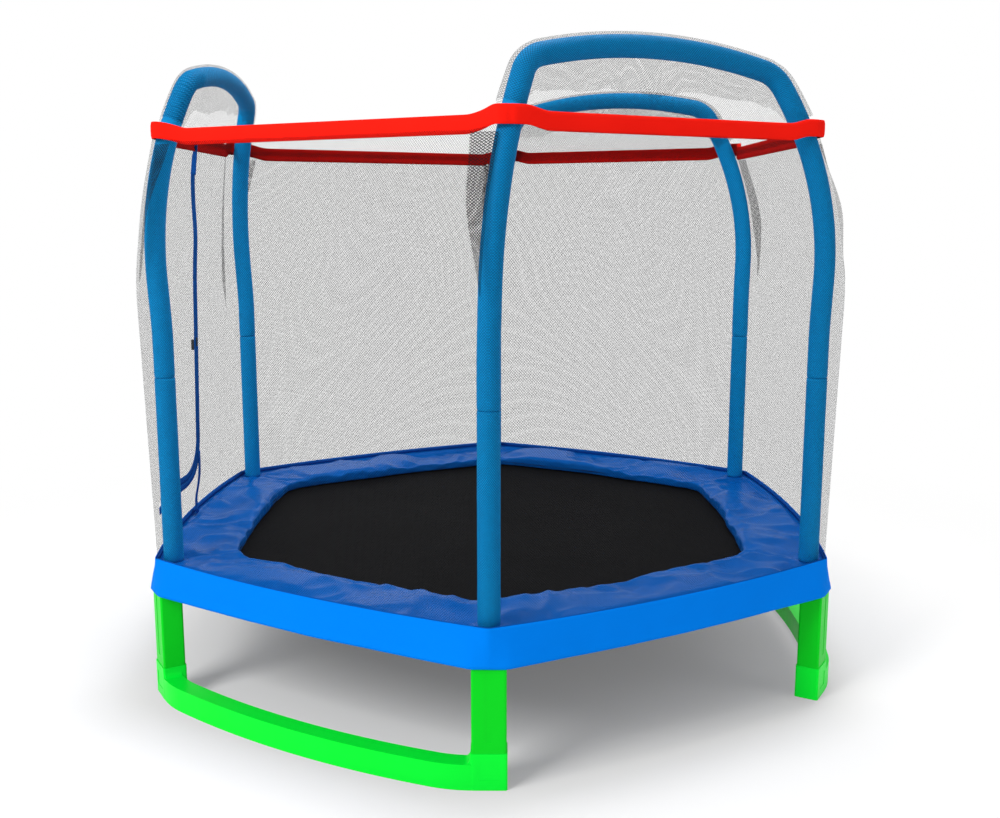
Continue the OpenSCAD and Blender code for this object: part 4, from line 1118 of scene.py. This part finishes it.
# %% Zip line and fold line
ZIP_TOP, ZIP_LOW, ZIP_BEND, ZIP_END = 1484.0, 510.0, 120.0, 440.0
ZIP_STEP, TAPE_EDGE = 12.0, 14.6
fold_from, fold_to = np.array([ZIP_Y, 1130.0]), np.array([ZIP_END, ZIP_LOW])
fold_dir = unit(fold_to - fold_from)
fold_side = np.array([fold_dir[1], -fold_dir[0]])


def zip_line():
    """Points down the zip and the direction across it, away from the door."""
    centre = np.array([ZIP_Y + ZIP_BEND, ZIP_LOW + ZIP_BEND])
    count = int((ZIP_TOP - centre[1]) / ZIP_STEP) + 1
    points = [(ZIP_Y, z) for z in np.linspace(ZIP_TOP, centre[1], count)]
    across = [(-1, 0)] * count
    for a in np.radians(np.linspace(180, 270, 13))[1:]:
        across.append((math.cos(a), math.sin(a)))
        points.append(tuple(centre + ZIP_BEND * np.array(across[-1])))
    for y in np.linspace(centre[0], ZIP_END, 25)[1:]:
        points.append((y, ZIP_LOW))
        across.append((0, -1))
    return np.array(points), np.array(across, float)


def below_fold(p, by):
    return (np.asarray(p) - fold_from) @ fold_side > by


def past_zip(p, d):
    """Whether a point lies to the door's side of the zip line moved by d."""
    y, z = p
    if y < ZIP_Y - d or y > ZIP_END or z > ZIP_TOP or z < ZIP_LOW - d:
        return False
    cy, cz = ZIP_Y + ZIP_BEND, ZIP_LOW + ZIP_BEND
    return not (y < cy and z < cz and math.hypot(y - cy, z - cz) > ZIP_BEND + d)


zip_points, zip_across = zip_line()
print("zip of", round(lengths(zip_points)[-1]), "mm")

# %% [markdown]
# ## The net wall
# Five sides are plain grids. The door's side comes from its flat drawing: the outline,
# both edges of the zip and the fold are fixed edges, and a grid of points fills the rest.

# %% Plain sides and corners
NET_ROWS = np.concatenate([np.linspace(NET_LOW, 1080, 17), np.linspace(1110, 1300, 8),
                           np.linspace(1325, NET_TOP, 10)])
FLAT_U = np.linspace(-FLAT_SHARE, FLAT_SHARE, 37)
TURN_U = np.linspace(FLAT_SHARE, 1, 4)
SIDE_LENGTH, TURN_LENGTH = 1028.0, 17.8


def net_length(k, u):
    """Distance along the net, in mm, for its UVs."""
    flat = np.clip(u / FLAT_SHARE, -1, 1) * SIDE_LENGTH / 2
    turn = np.sign(u) * np.clip((np.abs(u) - FLAT_SHARE) / (1 - FLAT_SHARE), 0, 1) * TURN_LENGTH
    return (k - 1) * (SIDE_LENGTH + 2 * TURN_LENGTH) + flat + turn


def net_patch(k, us):
    u, z = np.meshgrid(us, NET_ROWS)
    rows = at_side(k, net_point(k, u, z))
    return rows.reshape(-1, 3), *grid(rows, uv_grid(net_length(k, us), NET_ROWS))


def joined(name, patches, slots, close=0.02):
    """One mesh from several (points, faces, UVs), welded where they meet."""
    points, faces, corners = merged(patches)
    obj = piece(name, points, faces, slots, corners)
    bm = bmesh.new()
    bm.from_mesh(obj.data)
    bmesh.ops.remove_doubles(bm, verts=bm.verts, dist=close / 1000)
    bm.to_mesh(obj.data)
    bm.free()
    return obj


patches = []
for k in SIDES:
    parts = [-TURN_U[::-1], TURN_U] if k == DOOR else [-TURN_U[::-1], FLAT_U, TURN_U]
    patches += [net_patch(k, us) for us in parts]
print(len(patches), "patches of net")

# %% The door's side, drawn flat
NET_STEP = 27.0


def edge_ring(d):
    """The zip line moved by d, cut off level at its top and upright at its end."""
    line = zip_points + zip_across * d
    line[0][1] = ZIP_TOP
    line[-1][0] = ZIP_END
    return line


def door_chains():
    """The fixed edges of the drawing: outline, both edges of the zip, door's frame and fold."""
    sides = [(float(shares(z) @ level_widths[True]), z) for z in NET_ROWS]
    left, right = [(-w, z) for w, z in sides], sides
    low, high = [[(u / FLAT_SHARE * w, z) for u in FLAT_U[1:-1]] for w, z in (sides[0], sides[-1])]
    outer, inner = edge_ring(TAPE_EDGE), edge_ring(-TAPE_EDGE)
    fold = [fold_from + (fold_to - fold_from) * t - fold_side * 1.5
            for t in np.linspace(-0.02, 1.01, 40)]
    return [left + high + right[::-1] + low[::-1] + left[:1], outer, inner,
            [outer[0], inner[0]] + [(y, ZIP_TOP) for y in np.linspace(60, ZIP_END, 16)],
            [(ZIP_END, z) for z in np.linspace(ZIP_LOW - TAPE_EDGE, ZIP_TOP, 36)], fold]


def flat_mesh():
    """Triangles of the door's side in its square-on view."""
    points, edges, index = [], [], {}
    for chain in door_chains():
        ids = []
        for p in chain:
            key = (round(float(p[0]), 3), round(float(p[1]), 3))
            if key not in index:
                index[key] = len(points)
                points.append(key)
            ids.append(index[key])
        edges += [(a, b) for a, b in zip(ids[:-1], ids[1:]) if a != b]
    fixed = np.array(points)
    for y in np.arange(-500, 501, NET_STEP):
        for z in np.arange(410, 1510, NET_STEP):
            width = shares(z) @ level_widths[True]
            if abs(y) < width - 12 and np.min(np.hypot(*(fixed - (y, z)).T)) > 10:
                points.append((y, z))
    made = delaunay_2d_cdt([Vector(p) for p in points], edges, [], 0, 1e-4)
    return made[0], made[2]


flat_points, flat_faces = flat_mesh()
flat_points = np.array(flat_points)


def kind_of(face):
    """Whether a triangle is door, wall, or the gap that the zip's tapes cover."""
    p = flat_points[list(face)].mean(0)
    if past_zip(p, -TAPE_EDGE):
        return "door" if below_fold(p, -1.5) else "wall"
    return "gap" if past_zip(p, TAPE_EDGE) else "wall"


def door_side_patch(kind):
    """Points, faces and UVs of one kind of triangle, laid on the net's surface."""
    faces = [f for f in flat_faces if kind_of(f) == kind]
    used = sorted({v for f in faces for v in f})
    new = {v: i for i, v in enumerate(used)}
    y, z = flat_points[used].T
    u = net_u(DOOR, y, z)
    points = at_side(DOOR, net_point(DOOR, u, z))
    faces = [tuple(new[v] for v in f) for f in faces]
    lines = np.stack([[net_length(DOOR, a) for a in u], z], 1)
    return points, faces, [lines[v] for f in faces for v in f]


patches.append(door_side_patch("wall"))
net_wall = joined("net_wall_cloth", patches, ["net_mesh"])
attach(net_wall, "frame")
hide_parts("net_wall")
print("net wall", len(net_wall.data.polygons), "faces")

# %% Door
door_cloth = joined("door_cloth", [door_side_patch("door")], ["net_mesh"])


def door_place(y, z, out=0.0):
    """A point of the door's side, out in front of the net, about the mat's middle."""
    y, z = np.asarray(y, float), np.asarray(z, float)
    return at_side(DOOR, net_point(DOOR, net_u(DOOR, y, z), z, out))


def fold_blend(obj):
    """Bakes a piece's placement into its points."""
    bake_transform(obj)


fold_blend(door_cloth)
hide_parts("door_net")
print("door's cloth", len(door_cloth.data.polygons), "faces")

# %% [markdown]
# ## The zip
# Each side of the zip is a woven tape with a moulded coil along its edge. The wall's tape
# runs the whole way. The door's own tape is fixed above the fold, and below it is a
# piece of its own.

# %% Tapes
TAPE_NEAR, TAPE_FAR, COIL_AT, TOOTH = 1.8, 21.0, 1.1, 3.0
SPLIT_Z, TIP_Y = 1108.0, 424.0


def tape(name, lo, hi, side):
    """A tape on one side of the zip line (1 or -1), from one of its points to another."""
    p, n = zip_points[lo:hi], zip_across[lo:hi]
    across = np.linspace(*sorted((side * TAPE_NEAR, side * TAPE_FAR)), 4)
    flat = p[:, None] + n[:, None] * across[None, :, None]
    lift = np.array([-0.6, -0.4, -0.4, -0.7])
    rows = door_place(flat[..., 0], flat[..., 1], lift[None, :])
    return thicken(grid_piece(name, rows, ["zip_tape"], uv_grid(across, lengths(p))), 1.1)


def coil(name, lo, hi, side):
    """The moulded coil along a tape's edge, with a bead for each tooth."""
    p = zip_points[lo:hi] + zip_across[lo:hi] * side * COIL_AT
    total = lengths(p)
    fine = np.arange(0, total[-1], TOOTH / 3)
    y, z = np.interp(fine, total, p[:, 0]), np.interp(fine, total, p[:, 1])
    line = door_place(y, z, -0.3)
    beads = 0.85 + 0.3 * np.cos(fine * 2 * math.pi / TOOTH)
    points, faces, _ = wire(line, beads, 6)
    return piece(name, points, faces, ["zip_tape"])


beyond_bend = 1e3 * (zip_points[:, 0] > ZIP_Y + 1)
fold_row = int(np.argmin(np.abs(zip_points[:, 1] - SPLIT_Z) + beyond_bend))
tip_row = int(np.argmin(np.hypot(*(zip_points - (TIP_Y, ZIP_LOW)).T)))
count = len(zip_points)
fixed_parts = [tape("zip_tape_wall", 0, count, 1), coil("zip_coil_wall", 0, count, 1),
               tape("zip_tape_upper", 0, fold_row + 1, -1),
               coil("zip_coil_upper", 0, fold_row + 1, -1)]
for obj in fixed_parts:
    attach(obj, "frame")
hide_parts("door_zip_wall")
moving_parts = [tape("zip_tape_door", fold_row, tip_row, -1),
                coil("zip_coil_door", fold_row, tip_row, -1)]
for obj in moving_parts:
    for mod in list(obj.modifiers):
        with bpy.context.temp_override(object=obj, active_object=obj):
            bpy.ops.object.modifier_apply(modifier=mod.name)
    fold_blend(obj)
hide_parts("door_zip_flap")
print("zip tapes and coils:", len(fixed_parts) + len(moving_parts))

# %% Slider
SLIDER_Z = 923.0
slider_u = net_u(DOOR, np.array([ZIP_Y]), np.array([SLIDER_Z]))
slider_x = float(net_point(DOOR, slider_u, np.array([SLIDER_Z]))[0][0])
# Each block as (outward from the zip, height, size): two plates, bridge, ear and pull
blocks = [(2.2, SLIDER_Z, (1.6, 10.4, 26)), (-3.0, SLIDER_Z, (1.6, 10.4, 26)),
          (-0.4, 932.5, (5.2, 2.4, 6)), (4.4, 930, (3.6, 3.2, 8)), (9.6, 914, (11.0, 2.6, 32))]
bm = bmesh.new()
for out, z, size in blocks:
    for v in bmesh.ops.create_cube(bm, size=1)["verts"]:
        v.co = Vector((slider_x + out, ZIP_Y, z)) + v.co * Vector(size)
bmesh.ops.bevel(bm, geom=list(bm.edges), offset=0.4, segments=2, affect="EDGES", profile=0.5)
points = np.array([v.co for v in bm.verts])
faces = [tuple(v.index for v in f.verts) for f in bm.faces]
bm.free()
slider = piece("slider_body", at_side(DOOR, points), faces, ["zip_slider"])
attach(slider, "zip_pull")
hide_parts("zip_slider")
print("slider of", len(faces), "faces")

# %% Tab and strap
STRAP_FROM, STRAP_TO, STRAP_LOW, STRAP_TOP, STRAP_HANG = ZIP_Y - 15, ZIP_Y + 11, 382, 580, 14.0
TAB_WIDE, TAB_TOP, TAB_LOW = 15.0, 1510, 1424
WEBBING_THICK = 1.3


def hem_strap():
    """The flat strap under the zip's bend, whose lower end hangs clear of the net."""
    ys, zs = np.linspace(STRAP_FROM, STRAP_TO, 5), np.linspace(STRAP_LOW, STRAP_TOP, 14)
    y, z = np.meshgrid(ys, zs)
    down = (STRAP_TOP - zs) / (STRAP_TOP - STRAP_LOW)
    out = -2.4 + 0.35 * np.sin(zs * 0.09) - STRAP_HANG * down ** 3
    rows = door_place(y, z, out[:, None])
    return grid_piece("hem_strap", rows, ["net_webbing"], uv_grid(ys, zs))


def twisted_tab():
    """The loose end of the zip's webbing, sewn inside the band and turned away from the net."""
    across, zs = np.linspace(-0.5, 0.5, 5), np.linspace(TAB_TOP, TAB_LOW, 14)
    turn = np.radians(62 + 14 * smooth((TAB_TOP - zs) / 60))[:, None]
    y = ZIP_Y + 27 + TAB_WIDE * across[None] * np.cos(turn)
    out = -2.6 - TAB_WIDE * (across[None] + 0.5) * np.sin(turn)
    rows = door_place(y, np.repeat(zs[:, None], 5, 1), out)
    return grid_piece("zip_tab", rows, ["net_webbing"], uv_grid(across * TAB_WIDE, zs))


straps = [thicken(obj, WEBBING_THICK) for obj in (twisted_tab(), hem_strap())]
for obj in straps:
    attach(obj, "frame")
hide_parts("door_straps")
print("tab and strap", TAB_TOP - TAB_LOW, "and", STRAP_TOP - STRAP_LOW, "mm long")

# %% [markdown]
# ## Webbings
# A blue webbing holds the net's lower edge. The red band goes round all six uprights and
# is bright outside; its inside is a darker red, which is painted shade. Both are thin closed
# strips.

# %% Net's lower webbing
profile = ((22, 380.6), (22.2, 386), (21.9, 392), (20.4, 392.2), (20.2, 386), (20.4, 380.6))
rows, uv = strip([round_line(off, z) for off, z in profile], closing=2)
low_webbing = grid_piece("net_low_webbing", rows, ["net_webbing"], uv, round_u=True, round_v=True)
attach(low_webbing, "frame")
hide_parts("net_hem")
print("lower webbing round", round(uv[0][-1][0]), "mm")

# %% Red band
BAND_R, BAND_Z, BAND_HALF, BAND_LOOSE = 40.3, 1516.0, 21.5, 10.0


def band_line(height, out):
    """The band's closed line at a height above its middle; it hangs between the uprights."""
    lines = []
    turn = np.linspace(0, 30, 6)[1:]
    for k in SIDES:
        arch_side = k % 2 == 1
        cx, cy = pole_place(BAND_Z - 8, arch_side)
        r = BAND_R + out
        y = np.concatenate([np.linspace(0, cy - 170, 14)[:-1], np.linspace(cy - 170, cy, 30)])
        gap = cy - y
        loose = 0 if arch_side else BAND_LOOSE
        x = cx + r - pulled_in(gap, arch_side) + loose * (1 - smooth(gap / 50))
        wide = r + loose * (1 - turn / 30)
        a = np.radians(turn)
        sag = 12 * smooth((gap - 15) / 70) if arch_side else 18 * smooth((gap - 5) / 95)
        half = np.column_stack([np.concatenate([x, cx + wide * np.cos(a)]),
                                np.concatenate([y, cy + wide * np.sin(a)]),
                                BAND_Z + height + 9 - np.concatenate([sag, 0 * a])])
        lines.append(at_side(k, np.concatenate([half[::-1] * (1, -1, 1), half[1:]])[:-1]))
    return np.concatenate(lines)


# Once round the band's section: share of its half height, and how far it bows out
OUTSIDE = [(-0.99, -2.3), (-0.95, -0.6), (-0.6, 1.1), (0, 1.5), (0.6, 1.1), (0.95, -0.6),
           (0.99, -2.3)]
INSIDE = [(0.96, -3.4), (0.5, -1.2), (0, -0.9), (-0.5, -1.2), (-0.96, -3.4)]
ROW_UV = (0, 2, 14, 26, 38, 50, 52, 54, 66, 78, 90, 104, 106)
rows = np.array([band_line(share * BAND_HALF, bow) for share, bow in OUTSIDE + INSIDE])
wrinkle = np.array([[0.8 * wander(x / 60, y / 60, z / 90) for x, y, z in line] for line in rows])
spread = rows[..., :2] / np.linalg.norm(rows[..., :2], axis=2)[..., None]
rows[..., :2] += spread * wrinkle[..., None]
along = lengths(rows[0], closed=True)
faces, corners = grid(rows, uv_grid(along, ROW_UV), round_u=True, round_v=True)
row_of = np.arange(len(faces)) // rows.shape[1]
# The inner faces take the darker red, which is painted shade
painted_shade_faces = ((row_of >= len(OUTSIDE) - 1) & (row_of <= 11)).astype(int).tolist()
band = piece("red_band", rows.reshape(-1, 3), faces, ["red_webbing", "red_inside_painted_shade"], corners, painted_shade_faces)
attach(band, "frame")
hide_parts("top_band")
print("red band round", round(along[-1]), "mm")

# %% [markdown]
# ## Hoods and tails
# Above the band a piece of net goes up the outside of each arch, over its foam and down
# again as a short loose flap. Beside the poles, on the sides without an arch, narrow
# tails of doubled net hang from the band, and one more hangs beside the door. The hood is
# built from sections across the arch, and a tail from level rows of the net's surface.

# %% Hood sections
HOOD_R, FLAP_SHARE, HOOD_SLACK, HOOD_BEND_STATIONS = 30.6, 0.55, 11.0, 16
HOOD_FOOT, FLAP_IN = 37.0, 67.0
hood_first = upright_at(NET_TOP + 26)[1]


def hood_stations():
    """Places and directions along the arch, from below the band to its middle."""
    bends = ((bend_2, leaned, steep, UPRIGHT_R, hood_first, UPRIGHT_BEND, 9),
             (bend_3, steep, rising, SHOULDER_R, 0, shoulder_turn, 12),
             (bend_4, rising, ALONG, top_r, 0, TOP_RISE, 19))
    stations = []
    for p, u, v, radius, low, high, count in bends:
        stations += [(on_bend(p, u, v, radius, a), turned(u, v, a))
                     for a in np.linspace(low, high, count)[1 if stations else 0:]]
    return stations


def hood_section(q, u, share, slack):
    """Across the hood: up the outside, over the foam, and down inside as a flap."""
    n = side_of(u, np.array([1.0, 0, 0]))
    b = np.cross(n, u)
    edge = pole_place(NET_TOP, True)
    foot_x = edge[0] + HOOD_FOOT - float(pulled_in(edge[1] - abs(q[1]), True))
    foot_point = np.array([foot_x, q[1], NET_TOP + 0.3])
    line = []
    top = q + HOOD_R * n
    for t in np.linspace(0, 1, 7)[:-1]:
        line.append(foot_point + (top - foot_point) * t)
    for a in np.linspace(0, 180, 13):
        line.append(q + HOOD_R * (cosd(a) * n + sind(a) * b) + slack * sind(a) ** 2 * b)
    inner = q - HOOD_R * n
    low = inner + (np.array([foot_x - FLAP_IN, inner[1], NET_TOP]) - inner) * share
    for t in np.linspace(0, 1, 7)[1:]:
        line.append(inner + (low - inner) * t)
    return np.array(line)


# %% Hoods
def hood_rows(number):
    stations = hood_stations()
    n = len(stations)
    rows = []
    for i in range(2 * n - 1):
        q, u = stations[i] if i < n else stations[2 * n - 2 - i]
        t = i / (2 * n - 2)
        wave = 0.12 * wander(t * 9, number * 5.1, 0) + 0.07 * wander(t * 27, number, 3)
        up_share = min(1, min(i, 2 * n - 2 - i) / HOOD_BEND_STATIONS)
        section = hood_section(q, u, FLAP_SHARE + wave, 3 + HOOD_SLACK * (1 - up_share))
        rows.append(section if i < n else section * (1, -1, 1))
    return np.array(rows)


for number in (1, 2, 3):
    rows = hood_rows(number)
    along = lengths(rows[:, 6])
    down = lengths(rows[len(rows) // 2])
    obj = grid_piece(f"net_hood_cloth_{number}", at_side(2 * number - 1, rows), ["net_mesh"],
                     uv_grid(down, along))
    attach(obj, "frame")
    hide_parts(f"net_hood_{number}")
print("hood", round(along[-1]), "x", round(down[-1]), "mm")

# %% Tails
TAIL_TOP, TAIL_ROWS, TAIL_COLUMNS = 1489, 15, 7
# For each kind: heights and the widths there, gap to the side's end, lift off the net
PLAIN = ((1140, 1347, TAIL_TOP), (3, 42, 66), 0.0, 26.0)
CLOSE = ((1095, 1120, 1250, TAIL_TOP), (12, 32, 44, 50), -15.0, 22.0)
NARROW = ((985, 1093, TAIL_TOP), (2, 44, 12), 62.0, 0.0)


def tail(k, sign, levels, widths, gap, flare):
    """A strip of doubled net beside the pole at one end of side k."""
    heights = np.linspace(levels[0], TAIL_TOP, TAIL_ROWS)
    rows = []
    for z in heights:
        edge = float(shares(z) @ level_widths[k == DOOR]) - gap
        y = sign * np.linspace(edge - float(np.interp(z, levels, widths)), edge, TAIL_COLUMNS)
        free = np.linspace(1, 0, TAIL_COLUMNS) ** 1.2
        lifted = flare * smooth((z - levels[0] - 10) / 200) * free
        off = 1.6 + 0.6 * math.sin(z / 60 + k) + lifted
        level = np.full(TAIL_COLUMNS, z)
        rows.append(net_point(k, net_u(k, y, level), level, off))
    rows = at_side(k, np.array(rows))
    uv = uv_grid(np.linspace(0, 40, TAIL_COLUMNS), heights)
    return rows.reshape(-1, 3), *grid(rows, uv)


patches = [tail(k, sign, *(CLOSE if (k, sign) == (2, 1) else PLAIN))
           for k in (2, 4, 6) for sign in (-1, 1)]
patches.append(tail(DOOR, -1, *NARROW))
tails = joined("net_tail_cloth", patches, ["net_double"], 0.0)
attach(tails, "frame")
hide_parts("net_tails")
print(len(patches), "tails of net")

# %% [markdown]
# ## The floor
# A plain pale floor takes the soft shadow of the trampoline and runs out of view. Away
# from the trampoline it fades to white, but only where it is seen, so that its bounced
# light stays the same. It is a stage, so it doesn't belong to the object.

# %% Floor
FLOOR_NEAR, FLOOR_FAR, FLOOR_PALE, FLOOR_DOWN = 1.05, 3.0, 0.12, -0.0005
m = bpy.data.materials.new("studio_floor")
m.use_nodes = True
tree = m.node_tree
tree.nodes.clear()
matt = add(tree, "BsdfPrincipled", {"Base Color": (0.89, 0.885, 0.87, 1), "Roughness": 0.9,
                                    "Specular IOR Level": 0.1})
far = add(tree, "VectorMath", {0: placed(tree)}, operation="LENGTH").outputs["Value"]
fade = add(tree, "MapRange", {"Value": far, "From Min": FLOOR_NEAR, "From Max": FLOOR_FAR},
           interpolation_type="SMOOTHSTEP").outputs[0]
white = add(tree, "Emission", {"Color": (1, 1, 1, 1), "Strength": 1.0})
pale = math_node(tree, "MAXIMUM", fade, FLOOR_PALE)
mixed = math_node(tree, "MULTIPLY", pale, seen_directly(tree))
blend = add(tree, "MixShader", {0: mixed, 1: matt.outputs[0], 2: white.outputs[0]})
add(tree, "OutputMaterial", {"Surface": blend.outputs[0]})
mesh = bpy.data.meshes.new("studio_floor")
corners = [(x, y, FLOOR_DOWN) for x, y in ((-40, -20), (40, -20), (40, 60), (-40, 60))]
mesh.from_pydata(corners, [], [(0, 1, 2, 3)])
mesh.materials.append(m)
floor = bpy.data.objects.new("studio_floor", mesh)
scene.collection.objects.link(floor)
print("floor turns white from", FLOOR_NEAR, "to", FLOOR_FAR, "m out")
